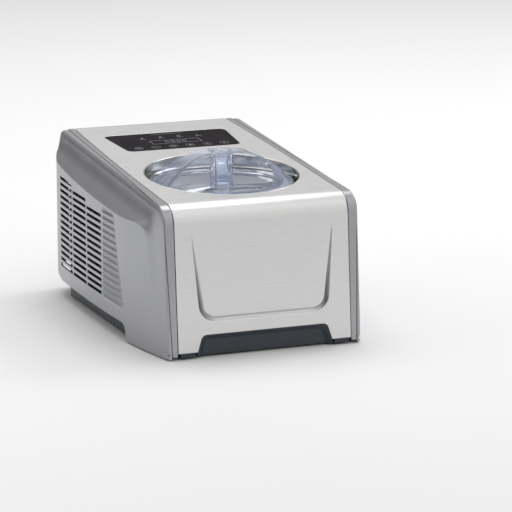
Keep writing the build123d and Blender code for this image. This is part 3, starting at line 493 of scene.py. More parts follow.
def brushed_steel():
    """Hairlines across the sheet, with painted shade multiplied into the colour along the upright
    sides of the pressed groove, its strength set by a point attribute.
    """
    colour = (0.68, 0.68, 0.675)
    material, bsdf = shader("brushed_steel", colour, 0.3, 1.0, Anisotropic=0.55)
    bsdf.inputs["Anisotropic Rotation"].default_value = 0.25
    hair = noise(material, 1.0, (26, 3400, 1), 4.0, "UV")
    streak = noise(material, 1.0, (18, 900, 1), 3.0, "UV")
    tangent = add(material, "ShaderNodeTangent", direction_type="UV_MAP", uv_map="UVMap")
    join(tangent.outputs["Tangent"], bsdf.inputs["Tangent"])
    join(spread(material, hair, 0.24, 0.38), bsdf.inputs["Roughness"])
    vary(material, bsdf, streak, scaled(colour, 0.98), scaled(colour, 1.015))
    # Painted shade: the groove's point attribute mixes the steel's colour towards PRESS_SHADE.
    pressed = add(material, "ShaderNodeAttribute", attribute_name="groove_shade")
    shade = add(material, "ShaderNodeMix", data_type="RGBA", blend_type="MULTIPLY")
    shade.inputs[7].default_value = PRESS_SHADE
    tone = bsdf.inputs["Base Color"].links[0].from_socket
    join(pressed.outputs["Fac"], shade.inputs["Factor"])
    join(tone, shade.inputs[6])
    join(shade.outputs[2], bsdf.inputs["Base Color"])
    bump(material, bsdf, hair, 0.07, 0.00006)
    return material


def clear_plastic():
    """Faintly blue plastic that lets most light through to what lies in its shadow."""
    material, bsdf = shader("clear_plastic", (0.76, 0.80, 0.90), 0.03, IOR=1.49,
                            Transmission_Weight=0.93)
    join(spread(material, noise(material, 60.0), 0.015, 0.05), bsdf.inputs["Roughness"])
    output = material.node_tree.nodes["Material Output"]
    path = add(material, "ShaderNodeLightPath")
    clear = add(material, "ShaderNodeBsdfTransparent")
    clear.inputs["Color"].default_value = LID_SHADOW
    mix = add(material, "ShaderNodeMixShader")
    join(path.outputs["Is Shadow Ray"], mix.inputs["Fac"])
    join(bsdf.outputs["BSDF"], mix.inputs[1])
    join(clear.outputs["BSDF"], mix.inputs[2])
    join(mix.outputs["Shader"], output.inputs["Surface"])
    return material


# Plain finishes: colour, roughness, metallic, grain, spread of tone, relief, stretch.
FINISHES = {
    "polished_steel": ((0.78, 0.78, 0.78), 0.12, 1.0, 400, 0.03, 0.03, (1, 1, 12)),
    "silver_cover": ((0.38, 0.384, 0.405), 0.30, 0.85, 2600, 0.02, 0.015),
    "trim_grey": ((0.38, 0.38, 0.40), 0.27, 0.9, 1800, 0.01, 0.003),
    "base_slate": ((0.028, 0.036, 0.046), 0.42, 0.0, 1500, 0.10, 0.25),
    "black_plastic": ((0.018, 0.018, 0.02), 0.45, 0.0, 1300, 0.15, 0.3),
    "rubber": ((0.022, 0.022, 0.023), 0.75, 0.0, 900, 0.15, 0.3),
    "screw_steel": ((0.55, 0.55, 0.55), 0.3, 1.0, 800, 0.08, 0.1),
    "aluminium": ((0.72, 0.73, 0.74), 0.35, 1.0, 700, 0.06, 0.1),
    "copper": ((0.80, 0.43, 0.29), 0.3, 1.0, 500, 0.12, 0.1),
    "foam": ((0.83, 0.80, 0.68), 0.9, 0.0, 260, 0.06, 0.6),
    "gear_white": ((0.80, 0.79, 0.74), 0.4, 0.0, 1200, 0.04, 0.15),
    "shaft_steel": ((0.60, 0.60, 0.61), 0.2, 1.0, 600, 0.05, 0.05),
    "bronze": ((0.56, 0.37, 0.16), 0.42, 1.0, 700, 0.10, 0.2),
    "black_enamel": ((0.012, 0.012, 0.013), 0.22, 0.0, 500, 0.1, 0.08),
    "winding": ((0.50, 0.20, 0.08), 0.35, 0.6, 1600, 0.2, 0.6, (1, 1, 8)),
    "board_green": ((0.02, 0.16, 0.07), 0.4, 0.0, 800, 0.15, 0.2),
    "lcd": ((0.03, 0.035, 0.03), 0.2, 0.0, 800, 0.1, 0.05),
    "paddle_white": ((0.82, 0.83, 0.84), 0.38, 0.0, 1200, 0.03, 0.12),
    "icon_grey": ((0.42, 0.42, 0.43), 0.5, 0.0, 900, 0.05, 0.05),
}
MATERIALS = {name: surface(name, *values) for name, values in FINISHES.items()}
MATERIALS["brushed_steel"] = brushed_steel()
MATERIALS["clear_plastic"] = clear_plastic()
MATERIALS["glass_black"] = surface("glass_black", (0.034, 0.031, 0.035), 0.3, 0.0, 900, 0.1, 0.02,
                                   Specular_IOR_Level=0.0)


def dress(obj, name, body="housing"):
    """Gives a new piece its finish and the CAD body that it rides on."""
    obj.data.materials.clear()
    obj.data.materials.append(MATERIALS[name])
    if obj.name not in nodes:
        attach(obj, body)


SLOTS = {entry["node"]: entry["material_slot"] for entry in frame["record"]["subparts"]}


def dress_frame():
    """Finish of every CAD node, by the record's material slots."""
    for node, slot in SLOTS.items():
        nodes[node].data.materials.clear()
        nodes[node].data.materials.append(MATERIALS[slot])


# ---- body shape
def front_y(z):
    return FRONT_Y + (z - LOW_Z) * math.tan(LEAN)


def top_z(y):
    return TOP_REF_Z + (y - TOP_REF_Y) * math.tan(SLOPE)


class Bend:
    """Side view line of the body: up the leaning front, round the corner and back along the top."""

    def __init__(self, low, set_back=0.0, drop=0.0, radius=CORNER_R):
        self.low = low
        self.radius = radius
        shift = set_back / math.cos(LEAN)
        fall = drop / math.cos(SLOPE)
        lean, slope = math.tan(LEAN), math.tan(SLOPE)
        corner_y = FRONT_Y + shift - LOW_Z * lean + lean * (TOP_REF_Z - fall - TOP_REF_Y * slope)
        corner_y = corner_y / (1 - lean * slope)
        corner_z = top_z(corner_y) - fall
        self.turn = math.pi / 2 - LEAN - SLOPE
        reach = radius * np.tan(self.turn / 2)
        self.foot_y = front_y(low) + shift
        self.rise = np.hypot(corner_y - self.foot_y, corner_z - low) - reach
        self.arc = radius * self.turn
        heading = math.pi / 2 - LEAN
        start_y = self.foot_y + self.rise * math.cos(heading)
        start_z = low + self.rise * math.sin(heading)
        self.centre_y = start_y + radius * math.sin(heading)
        self.centre_z = start_z - radius * math.cos(heading)

    def at(self, s, depth=0.0):
        """(y, z) at a length from the foot, a depth inside the line."""
        first = math.pi / 2 - LEAN
        heading = first - np.clip((s - self.rise) / self.radius, 0, self.turn)
        before = np.minimum(s - self.rise, 0)
        after = np.maximum(s - self.rise - self.arc, 0)
        reach = self.radius - depth
        y = self.centre_y - reach * np.sin(heading) + before * math.cos(first)
        z = self.centre_z + reach * np.cos(heading) + before * math.sin(first)
        return y + after * math.cos(SLOPE), z + after * math.sin(SLOPE)

    def s_front(self, z):
        return (z - self.low) / math.cos(LEAN)

    def s_top(self, y):
        start_y = self.centre_y - self.radius * math.sin(SLOPE)
        return self.rise + self.arc + (y - start_y) / math.cos(SLOPE)

    def rows(self, stop, flat=8.0, curved=1.6):
        """Lengths for mesh rows: close together round the corner."""
        first = np.arange(4.0, self.rise, flat)
        middle = np.arange(self.rise, self.rise + self.arc, curved)
        last = np.arange(self.rise + self.arc, stop - 3, flat)
        return np.concatenate([first, middle, last])


def steel_half(y):
    share = np.clip((y - TAPER_START_Y) / TAPER_LENGTH, 0, 1)
    return STEEL_HALF - TAPER[0] * share - TAPER[1] * share ** 2


def trim_half(y):
    return np.interp(y, TRIM_Y, TRIM_X)


def plan_half(y):
    return smooth_table(np.clip(y, PLAN_Y[0], PLAN_Y[-1]), PLAN_Y, PLAN_X)


# ---- steel wrap
ARCH_TOP_Z = 28.7
ARCH_TOP_HALF = 83.0
ARCH_FOOT_HALF = 89.5
ARCH_R = 8.0
GROOVE_TIP = (94.2, 163.0)
GROOVE_CORNER = (81.5, 47.5)
GROOVE_R = 19.0
GROOVE_WIDTH = 8.0
GROOVE_TIP_WIDTH = 0.7
GROOVE_DEPTH_SHARE = 0.34
GROOVE_SHARES = (-0.66, -0.5, -0.42, -0.33, -0.25, -0.16, -0.08, 0, 0.08, 0.16, 0.25, 0.33, 0.42,
                 0.5, 0.66)
STEEL_EDGE = 0.55
FRONT_BAND_Y = -190.0
PANEL_CORNERS = ((-78.0, 72.0), (78.0, 72.0), (86.0, 157.0), (-86.0, 157.0))
PANEL_R = 9.0
WINDOW_SHARE = 1.0035


def groove_path(bend, spacing=1.6):
    """Middle line of the pressed U, as (x, length up the front), with its width at each point."""
    tip, corner = GROOVE_TIP, GROOVE_CORNER
    outline = rounded([(-tip[0], tip[1]), (-corner[0], corner[1]), (corner[0], corner[1]),
                       (tip[0], tip[1])], [0, GROOVE_R, GROOVE_R, 0], 4.0)
    line = []
    for a, b in zip(outline[:-1], outline[1:]):
        pieces = max(1, int(np.linalg.norm(b - a) / spacing))
        line += [a + (b - a) * k / pieces for k in range(pieces)]
    line = np.array(line + [outline[-1]])
    share = np.clip((tip[1] - line[:, 1]) / (tip[1] - corner[1] - GROOVE_R), 0, 1)
    width = GROOVE_TIP_WIDTH + (GROOVE_WIDTH - GROOVE_TIP_WIDTH) * share ** 1.15
    line[:, 1] = bend.s_front(line[:, 1])
    return line, width


class Groove:
    """Pressed U in the front: how deep the sheet lies at a point."""

    def __init__(self, bend):
        self.line, self.width = groove_path(bend)
        step = np.gradient(self.line, axis=0)
        self.side = unit(np.stack([-step[:, 1], step[:, 0]], axis=1))
        # How upright the groove runs here, used as the weight of its painted shade: full on the sides,
        # none along the bottom.
        self.upright = np.abs(self.side[:, 0])

    def points(self):
        """Mesh points in lines along the groove."""
        return np.vstack([self.line + self.side * (self.width * share)[:, None]
                          for share in GROOVE_SHARES])

    def depth(self, u, v, weight=None):
        """How far the sheet is pressed in, or that depth times a weight for each point of the path."""
        weight = np.ones(len(self.line)) if weight is None else weight
        spots = np.stack([u, v], axis=1)
        result = np.zeros(len(spots))
        near = (np.abs(v - self.line[:, 1].mean()) < 90) & (v < self.line[:, 1].max() + 2)
        index = np.where(near)[0]
        for start in range(0, len(index), 500):
            part = index[start:start + 500]
            gaps = np.linalg.norm(spots[part][:, None, :] - self.line[None], axis=2)
            best = gaps.argmin(1)
            offset = ((spots[part] - self.line[best]) * self.side[best]).sum(1)
            width = self.width[best]
            along = np.abs(gaps[np.arange(len(part)), best] ** 2 - offset ** 2) ** 0.5
            share = np.clip(np.abs(offset) / (width / 2), 0, 1)
            fade = np.clip((width - GROOVE_TIP_WIDTH) / 1.2, 0, 1) * (along < 2.5)
            bowl = 0.5 * (1 + np.cos(math.pi * share))
            result[part] = GROOVE_DEPTH_SHARE * width * bowl * fade * weight[best]
        return result


def steel_shell():
    bend = Bend(LOW_Z)
    stop = bend.s_top(STEEL_BACK_Y)
    arch = bend.s_front(ARCH_TOP_Z)
    sides = np.arange(0, stop - 4, 3.0)
    edge_y = bend.at(sides)[0]
    right = [(float(steel_half(y)), float(s)) for s, y in zip(sides, edge_y)]
    back = float(steel_half(STEEL_BACK_Y))
    corners = [(-STEEL_HALF, 0), (-ARCH_FOOT_HALF, 0), (-ARCH_TOP_HALF, arch), (ARCH_TOP_HALF, arch),
               (ARCH_FOOT_HALF, 0)]
    radii = [1.0, 1.0, ARCH_R, ARCH_R, 1.0]
    outline = corners + right + [(back, stop), (-back, stop)] + [(-x, s) for x, s in right[:0:-1]]
    radii += [1.0] + [0] * (len(right) - 1) + [2.0, 2.0] + [0] * (len(right) - 1)
    outer = dense(rounded(outline, radii), 4.0)
    turns = np.arange(0, 360, 2.0)
    well_x = WELL_R * np.cos(np.radians(turns))
    well_s = bend.s_top(AXIS_Y + WELL_R * np.sin(np.radians(turns)))
    well = np.stack([well_x, well_s], axis=1)[::-1]
    window = rounded([(x * WINDOW_SHARE, y) for x, y in PANEL_CORNERS], [PANEL_R] * 4)
    window[:, 1] = bend.s_top(window[:, 1])
    window = dense(window, 4.0)[::-1]
    groove = Groove(bend)

    def place(u, v):
        y, z = bend.at(v, groove.depth(u, v))
        return np.stack([u, y, z], axis=1)

    shell = plate("steel_shell_skin", [outer, well, window], place, STEEL_T, STEEL_EDGE,
                  fixed=groove.points(), rows=bend.rows(stop))
    spots = np.zeros(3 * len(shell.data.vertices))
    shell.data.vertices.foreach_get("co", spots)
    spots = spots.reshape(-1, 3) / MM
    front = spots[:, 1] < FRONT_BAND_Y
    # Painted shade for the groove, stored per point: its depth weighted by how upright it runs, on the
    # front band only.
    depth = groove.depth(spots[:, 0], np.where(front, bend.s_front(spots[:, 2]), 0), groove.upright)
    groove_shade = shell.data.attributes.new("groove_shade", "FLOAT", "POINT")
    groove_shade.data.foreach_set("value", (depth / depth.max() * front).astype(np.float32))
    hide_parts("steel_shell")
    dress(shell, "brushed_steel")


def trim_strip(side, node):
    bend = Bend(TRIM_LOW_Z)
    stop = bend.s_top(BACK_Y - 0.5)
    lengths = np.concatenate([[0], bend.rows(stop, 4.0, 1.2), [stop]])
    y = bend.at(lengths)[0]
    inner = np.stack([steel_half(y) + 0.5, lengths], axis=1)
    outer = np.stack([trim_half(y), lengths], axis=1)
    loop = np.vstack([inner[::-1], outer])
    loop[:, 0] *= side
    if side < 0:
        loop = loop[::-1]
    radii = [2.0 if s < 0.01 or s > stop - 0.01 else 0.0 for s in loop[:, 1]]
    loop = dense(rounded(loop, radii), 4.0)

    def place(u, v):
        y, z = bend.at(v)
        return np.stack([u, y, z], axis=1)

    strip = plate(node + "_skin", [loop], place, TRIM_T, 1.1, 3.4, rows=bend.rows(stop, 4.0, 1.2))
    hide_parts(node)
    dress(strip, "trim_grey")


# ---- side covers
CREASE_BLEND = 0.8
CREASE_BIAS = 0.5
ARCH_Z = 24.0
SIDE_ARCH_FRONT_Y = -103.0
SIDE_ARCH_BACK_Y = 158.0
SIDE_ARCH_RISE = 16.0 / 60.0
SIDE_ARCH_R = 14.0
BLIND_TOP = (-73.0, 151.0)
BLIND_LOW = (-103.0, 40.0)
BLIND_DEPTH = 1.5
COVER_EDGE = 0.4
COVER_GRID = 7.0


def bottom_z(y):
    """Height of the cover's lower edge behind the front end of the side arch."""
    return ARCH_Z + np.maximum(0, y - SIDE_ARCH_BACK_Y) * SIDE_ARCH_RISE


class Shoulder:
    """Family of side view lines that sweep the cover's skin from the trim out to the side."""

    def __init__(self):
        x = np.linspace(SHOULDER_X[0], SHOULDER_X[-1] + 3, 1200)
        self.x = x
        self.front, self.top, self.back = (smooth_table(x, SHOULDER_X, table) for table in
                                           (SHOULDER_FRONT, SHOULDER_TOP, SHOULDER_BACK))
        self.length = np.concatenate([[0], np.cumsum(np.hypot(np.diff(x), np.diff(self.top)))])
        self.front_count, self.arc_count, self.top_count = 40, 18, 84
        self.back_arc_count, self.back_count = 6, 30

    def columns(self):
        total = self.front_count + self.arc_count + self.top_count
        return total + self.back_arc_count + self.back_count + 1

    def line(self, w):
        """Half width and (y, z) at each column, for one section length per column."""
        half, front, drop, back = (np.interp(w, self.length, table)
                                   for table in (self.x, self.front, self.top, self.back))
        spots = [self.spot(*sizes) for sizes in zip(range(len(w)), front, drop, BACK_Y - back)]
        return half, *np.array(spots).T

    def spot(self, column, front, drop, back):
        """(y, z) at a column: up the front, round the bend, along the top, round the back and down."""
        bend = Bend(COVER_LOW_Z, front, drop, COVER_CORNER_R)
        end = bend.s_top(back)
        reach = BACK_CORNER_R * math.tan((math.pi / 2 - SLOPE) / 2 + SLOPE)
        end = end - reach
        first = self.front_count
        second = first + self.arc_count
        third = second + self.top_count
        fourth = third + self.back_arc_count
        if column <= first:
            return bend.at(bend.rise * column / self.front_count)
        if column <= second:
            return bend.at(bend.rise + bend.arc * (column - first) / self.arc_count)
        if column <= third:
            start = bend.rise + bend.arc
            return bend.at(start + (end - start) * (column - second) / self.top_count)
        y0, z0 = bend.at(end)
        centre = (y0 + BACK_CORNER_R * math.sin(SLOPE), z0 - BACK_CORNER_R * math.cos(SLOPE))
        turn = min(1.0, (column - third) / self.back_arc_count)
        angle = math.pi / 2 + SLOPE - turn * (math.pi / 2 + SLOPE)
        y = centre[0] + BACK_CORNER_R * math.cos(angle)
        z = centre[1] + BACK_CORNER_R * math.sin(angle)
        if column <= fourth:
            return y, z
        low = float(bottom_z(y))
        return y, z + (low - z) * (column - fourth) / self.back_count


def slot_loop(start, stop, low):
    """One open slot, its top cut off under the shoulder, or nothing where it would be too thin."""
    high = low + LOUVRE_HEIGHT
    fall = LOUVRE_TOP_DROP / math.cos(SLOPE)

    def limit(y):
        return top_z(y) - fall

    if low + 1 >= limit(start):
        return None
    corners = [(start, low), (stop, low), (stop, min(high, limit(stop)))]
    if limit(start) < high < limit(stop):
        corners.append((TOP_REF_Y + (high + fall - TOP_REF_Z) / math.tan(SLOPE), high))
    corners.append((start, min(high, limit(start))))
    radius = 0.7 if min(high, limit(start)) - low > 1.8 else 0.25
    radii = [radius, radius, radius] + [0] * (len(corners) - 4) + [radius]
    return dense(rounded(corners, radii, 30), 4.0)


def louvre_slots():
    lows = [LOUVRE_LOW_Z + row * LOUVRE_PITCH for row in range(LOUVRE_ROWS)]
    slots = [slot_loop(first + LOUVRE_BAR_HALF, last - LOUVRE_BAR_HALF, low)
             for low in lows for first, last in zip(LOUVRE_BARS, LOUVRE_BARS[1:])]
    return [slot for slot in slots if slot is not None]


def blind_front(z):
    """Where the blind louvres start, along a leaning line."""
    share = (BLIND_TOP[1] - z) / (BLIND_TOP[1] - BLIND_LOW[1])
    return BLIND_TOP[0] + (BLIND_LOW[0] - BLIND_TOP[0]) * share


def blind_depth(y, z):
    """Shallow grooves that carry the slots' lines forward and fade out."""
    row = np.floor((z - LOUVRE_LOW_Z + 0.6) / LOUVRE_PITCH)
    rise = z - LOUVRE_LOW_Z - row * LOUVRE_PITCH
    across = np.interp(rise, (-0.4, 0.0, 3.6, LOUVRE_HEIGHT, LOUVRE_HEIGHT + 0.4),
                       (0, 0.15, 1, 0.8, 0))
    front = blind_front(z)
    along = np.interp(y - front, (0, 9), (0, 1))
    along = along * np.interp(y, (LOUVRE_BARS[0] - 6, LOUVRE_BARS[0] - 1.5), (1, 0))
    used = (row >= 0) & (row < LOUVRE_ROWS - 1)
    return BLIND_DEPTH * across * along * used


def blind_points():
    """Mesh points along the blind louvres."""
    lows = [LOUVRE_LOW_Z + row * LOUVRE_PITCH for row in range(LOUVRE_ROWS - 1)]
    rises = (-0.4, 0.0, 1.2, 2.4, 3.6, LOUVRE_HEIGHT, LOUVRE_HEIGHT + 0.4)
    return np.array([(y, low + rise) for low in lows for rise in rises
                     for y in np.arange(blind_front(low) - 1, LOUVRE_BARS[0] - 0.5, 2.6)])


def cover_skin():
    """Points, normals and faces of the left cover's outer skin."""
    shoulder = Shoulder()
    columns = shoulder.columns()
    w0 = np.full(columns, 12.0)
    for _ in range(3):
        _, y, _ = shoulder.line(w0)
        w0 = np.interp(trim_half(y) + 0.5, shoulder.x, shoulder.length)
    low, high = w0.copy(), np.full(columns, shoulder.length[-1])
    for _ in range(22):
        middle = (low + high) / 2
        half, y, _ = shoulder.line(middle)
        beyond = half > plan_half(y) + CREASE_BIAS
        high = np.where(beyond, middle, high)
        low = np.where(beyond, low, middle)
    crease = (low + high) / 2
    reach = CREASE_BLEND * 1.6
    shares = np.concatenate([np.linspace(0, 1, 26) ** 1.1, 1 + np.arange(1, 10) / 4.5])
    grid = []
    for share in shares:
        w = w0 + (crease - reach - w0) * share if share <= 1 else crease - reach + (share - 1) * reach
        half, y, z = shoulder.line(w)
        grid.append(np.stack([-smooth_min(half, plan_half(y), CREASE_BLEND), y, z], axis=1))
    grid = np.array(grid)
    down = np.gradient(grid, axis=0)
    along = np.gradient(grid, axis=1)
    normals = unit(np.cross(along.reshape(-1, 3), down.reshape(-1, 3)))
    last = (len(grid) - 1) * columns + np.arange(columns)
    if normals[last[5]][0] > 0:
        normals = -normals
    faces = []
    for a in range(last[0]):
        if (a + 1) % columns:
            faces.append([a, a + columns, a + columns + 1, a + 1])
    flat = grid.reshape(-1, 3)
    lower = side_edge(flat[last[-1]], flat[last[0]])
    loop = np.vstack([flat[last][:, 1:], lower])
    slots = louvre_slots()
    base = np.array([(y, z) for z in np.arange(4, 215, COVER_GRID)
                     for y in np.arange(-200, 210, COVER_GRID)])
    spots, tris = fill([loop] + [slot[::-1] for slot in slots], blind_points(), base, 1.5)

    def place(u, v):
        return np.stack([-plan_half(u) + blind_depth(u, v), u, v], axis=1)

    side_points = place(spots[:, 0], spots[:, 1])
    side_normals = surface_normals(place, spots[:, 0], spots[:, 1], 0.15)
    side_normals[side_normals[:, 0] > 0] *= -1
    shift = len(flat) - columns
    index = np.arange(len(spots)) + shift
    index[:columns] = last
    index[columns:] = len(flat) + np.arange(len(spots) - columns)
    points = np.vstack([flat, side_points[columns:]])
    normals = np.vstack([normals, side_normals[columns:]])
    faces += [list(index[t]) for t in tris]
    return points, normals, oriented(points, normals, faces)


def oriented(points, normals, faces):
    """Faces wound so that they agree with the given normals."""
    result = []
    for face in faces:
        a, b, c = points[face[:3]]
        agrees = np.cross(b - a, c - a) @ normals[face].mean(0) >= 0
        result.append(face if agrees else face[::-1])
    return result


def side_edge(rear, front):
    """Lower edge of the side from the rear, over the side arch, to the front leg."""
    rear_y, front_y_ = float(rear[1]), float(front[1])
    outline = [(rear_y, float(rear[2])), (SIDE_ARCH_BACK_Y, ARCH_Z), (SIDE_ARCH_FRONT_Y, ARCH_Z),
               (SIDE_ARCH_FRONT_Y, COVER_LOW_Z), (front_y_, COVER_LOW_Z), (front_y_, 60.0),
               (rear_y, 60.0)]
    loop = rounded(outline, [0, 60, SIDE_ARCH_R, 1.0, 0, 0, 0], 8)
    loop = dense(loop, 4.0)
    start = int(np.argmin(np.linalg.norm(loop - np.array(outline[0]), axis=1)))
    stop = int(np.argmin(np.linalg.norm(loop - np.array(outline[4]), axis=1)))
    loop = np.roll(loop, -start, axis=0)
    return loop[1:(stop - start) % len(loop)]


def side_covers():
    points, normals, faces = cover_skin()
    left = thicken("left_cover_skin", points, normals, faces, COVER_T, COVER_EDGE, steps=3)
    mirror = np.array([-1, 1, 1])
    right = thicken("right_cover_skin", points * mirror, normals * mirror, [f[::-1] for f in faces],
                    COVER_T, COVER_EDGE, steps=3)
    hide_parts("left_cover")
    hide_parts("right_cover")
    dress(left, "silver_cover")
    dress(right, "silver_cover")


# ---- control panel
PANEL_SHARE = 0.998
PANEL_DROP = 0.12
PANEL_T = 1.4
PANEL_EDGE = 0.35
ICON_DROPS = (0.04, 0.13)
# Symbols in a row: kinds, first x, pitch, y and size.
LAMPS = ("cone", "snow", "clock", "note"), -39, 26, 134, 5.0
KEYS = ("power", "minus", "clock", "snow", "plus", "play"), -60, 24, 86, 6.0
# Level lines of the display's frame and of the heading: ends and y.
LEVEL_LINES = ((-34, 34, 118), (-34, 34, 101), (-22, 22, 148.5))
DISPLAY_HALF = 34
DISPLAY_Y = 109.5
DIGITS_X = -12
DIGIT_PITCH = 8
# Strokes of a digit 0: offset and turn.
STROKES = ((0, 3.6, 0), (0, -3.6, 0), (-2, 1.8, 90), (2, 1.8, 90), (-2, -1.8, 90), (2, -1.8, 90))


def control_panel():
    bend = Bend(LOW_Z)
    loop = rounded([(x * PANEL_SHARE, y) for x, y in PANEL_CORNERS], [PANEL_R] * 4)
    loop[:, 1] = bend.s_top(loop[:, 1])

    def place(u, v):
        y, z = bend.at(v, PANEL_DROP)
        return np.stack([u, y, z], axis=1)

    panel = plate("control_panel_glass", [dense(loop, 4.0)], place, PANEL_T, PANEL_EDGE, 10.0)
    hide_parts("control_panel")
    dress(panel, "glass_black")
    panel_icons(bend)


def ring_shape(x, y, radius, width, start=0.0, stop=360.0):
    """Flat ring or arc as a strip of quads."""
    angles = np.radians(np.linspace(start, stop, 25))
    return [[(x + r * math.cos(t), y + r * math.sin(t))
             for r, t in ((radius, a), (radius, b), (radius - width, b), (radius - width, a))]
            for a, b in zip(angles, angles[1:])]


def bar_shape(x, y, length, width, turn=0.0):
    """Straight stroke, turned from the x axis."""
    c, s = math.cos(math.radians(turn)), math.sin(math.radians(turn))
    corners = [(-length / 2, -width / 2), (length / 2, -width / 2), (length / 2, width / 2),
               (-length / 2, width / 2)]
    return [[(x + c * a - s * b, y + s * a + c * b) for a, b in corners]]


def icon(kind, x, y, size):
    """Generic symbols: power, clock, snow crystal, cone, minus, plus, play, note."""
    half = size / 2
    if kind == "power":
        return ring_shape(x, y, half, 0.5, 120, 420) + bar_shape(x, y + half * 0.6, half, 0.5, 90)
    if kind == "clock":
        return (ring_shape(x, y, half, 0.5) + bar_shape(x, y + half * 0.3, half * 0.7, 0.5, 90)
                + bar_shape(x + half * 0.25, y, half * 0.6, 0.5))
    if kind == "snow":
        return [quad for turn in (0, 60, 120) for quad in bar_shape(x, y, size, 0.5, turn)]
    if kind == "cone":
        return ([[(x - half * 0.6, y), (x, y - half), (x + half * 0.6, y), (x, y + 0.01)]]
                + ring_shape(x, y + half * 0.15, half * 0.6, 0.6, 0, 180))
    if kind == "minus":
        return bar_shape(x, y, size * 0.8, 0.6)
    if kind == "plus":
        return bar_shape(x, y, size * 0.8, 0.6) + bar_shape(x, y, size * 0.8, 0.6, 90)
    if kind == "play":
        return [[(x - half * 0.5, y - half * 0.6), (x + half * 0.6, y), (x + half * 0.6, y + 0.01),
                 (x - half * 0.5, y + half * 0.6)]]
    return (ring_shape(x - half * 0.3, y - half * 0.4, half * 0.35, 0.8)
            + bar_shape(x, y, size * 0.8, 0.5, 90))


def panel_icons(bend):
    """Printed symbols in rows, with a display window's frame between them."""
    quads = []
    kinds, first, pitch, level, size = LAMPS
    for index, kind in enumerate(kinds):
        x = first + pitch * index
        quads += icon(kind, x, level, size) + bar_shape(x, level - 5.5, 9, 0.5)
    kinds, first, pitch, level, size = KEYS
    for index, kind in enumerate(kinds):
        x = first + pitch * index
        quads += icon(kind, x, level, size) + ring_shape(x, level, size, 0.35)
    for start, stop, level in LEVEL_LINES:
        quads += bar_shape((start + stop) / 2, level, stop - start, 0.45)
    for x in (-DISPLAY_HALF, DISPLAY_HALF):
        quads += bar_shape(x, DISPLAY_Y, 17, 0.45, 90)
    for digit in range(4):
        for dx, dy, turn in STROKES:
            quads += bar_shape(DIGITS_X + DIGIT_PITCH * digit + dx, DISPLAY_Y + dy, 3.0, 0.6, turn)
    points = np.array([p for quad in quads for p in quad])
    s = bend.s_top(points[:, 1])
    top, low = (np.stack([points[:, 0], *bend.at(s, drop)], axis=1) for drop in ICON_DROPS)
    count = len(top)
    faces = []
    for i in range(0, count, 4):
        ring = [i, i + 1, i + 2, i + 3]
        faces += [ring, [count + k for k in ring[::-1]]]
        faces += [[a, count + a, count + b, b] for a, b in zip(ring, ring[1:] + ring[:1])]
    dress(clean(new_object("panel_icons", np.vstack([top, low]), faces), 30), "icon_grey")


# ---- lid
LID_OPENING = ((-44, -104), (44, -104), (31, -82), (-31, -82))
HANDLE_EDGE = 1.1
HANDLE_WIDE_AT = (0, 50, 86)
HANDLE_HALF_WIDTHS = (12.0, 17.0, 25.0)
POST_HALF = (12, 11)
POST_WALL = 2


def lid_disc():
    """Clear lid: rolled rim, flange, dished middle and the skirt that hangs in the bowl."""
    profile = [(9.0, 182.0), (73.6, 182.0), (73.9, 181.4), (74.0, 172.0), (74.4, 171.0),
               (75.4, 171.0), (75.8, 171.6), (75.9, 181.2), (76.4, 182.0), (77.0, 182.4),
               (77.6, 183.2), (77.9, 184.3), (78.6, 184.75), (90.4, 184.7), (91.2, 185.0),
               (91.5, 185.7), (91.5, 188.2), (91.2, 188.8), (90.5, 189.0), (89.7, 188.8),
               (89.3, 188.2), (89.0, 187.5), (88.3, 187.2), (77.2, 187.2), (76.3, 187.0),
               (75.8, 186.4), (75.4, 185.0), (74.8, 184.3), (73.8, 184.0), (10.0, 184.0),
               (9.2, 183.8), (9.0, 183.3)]
    disc = revolve("lid_disc_clear", profile, 160)
    combine(disc, prism("lid_cutter", rounded(LID_OPENING, [4] * 4, 12), 160, 200), "DIFFERENCE")
    clean(disc, 32)
    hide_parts("lid_disc")
    dress(disc, "clear_plastic", "lid")


def handle_curve(share):
    """Points of the arch's outer line, for shares from -1 to 1 of the span."""
    x = HANDLE_SPAN * np.sin(share * math.pi / 2)
    ratio = np.abs(x) / HANDLE_SPAN
    z = LID_FLANGE_TOP_Z + (HANDLE_TOP_Z - LID_FLANGE_TOP_Z) * (1 - ratio ** HANDLE_POWER)
    return x, z


def post_loop(inset, radius):
    """Rounded rectangle round the lid's axis."""
    x, y = POST_HALF[0] - inset, POST_HALF[1] - inset
    near, far = AXIS_Y - y, AXIS_Y + y
    return rounded([(-x, near), (x, near), (x, far), (-x, far)], [radius] * 4)


def lid_handle():
    """Ribbon arch over the lid with a hollow square post under its crown."""
    share = np.linspace(-1, 1, 161)
    x, z = handle_curve(share)
    length = np.concatenate([[0], np.cumsum(np.hypot(np.diff(x), np.diff(z)))])
    total = length[-1]

    def place(u, v):
        along = np.clip(v, 0, total)
        px, pz = np.interp(along, length, x), np.interp(along, length, z)
        return np.stack([px, AXIS_Y - u, pz], axis=1)

    stations = np.linspace(0, total, 90)
    px = np.interp(stations, length, x)
    half = np.interp(np.abs(px), HANDLE_WIDE_AT, HANDLE_HALF_WIDTHS)
    loop = np.vstack([np.stack([half, stations], axis=1), np.stack([-half, stations], axis=1)[::-1]])
    ribbon = plate("lid_handle_clear", [loop], place, HANDLE_T, HANDLE_EDGE, 5.0)
    post = prism("post", post_loop(0, 2.5), 184.0, HANDLE_TOP_Z - 2.0)
    hollow = prism("hollow", post_loop(POST_WALL, 1.5), 180.0, HANDLE_TOP_Z - 4.5)
    combine(post, hollow, "DIFFERENCE")
    combine(ribbon, post, "UNION")
    clean(ribbon, 35)
    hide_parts("lid_handle")
    dress(ribbon, "clear_plastic", "lid")


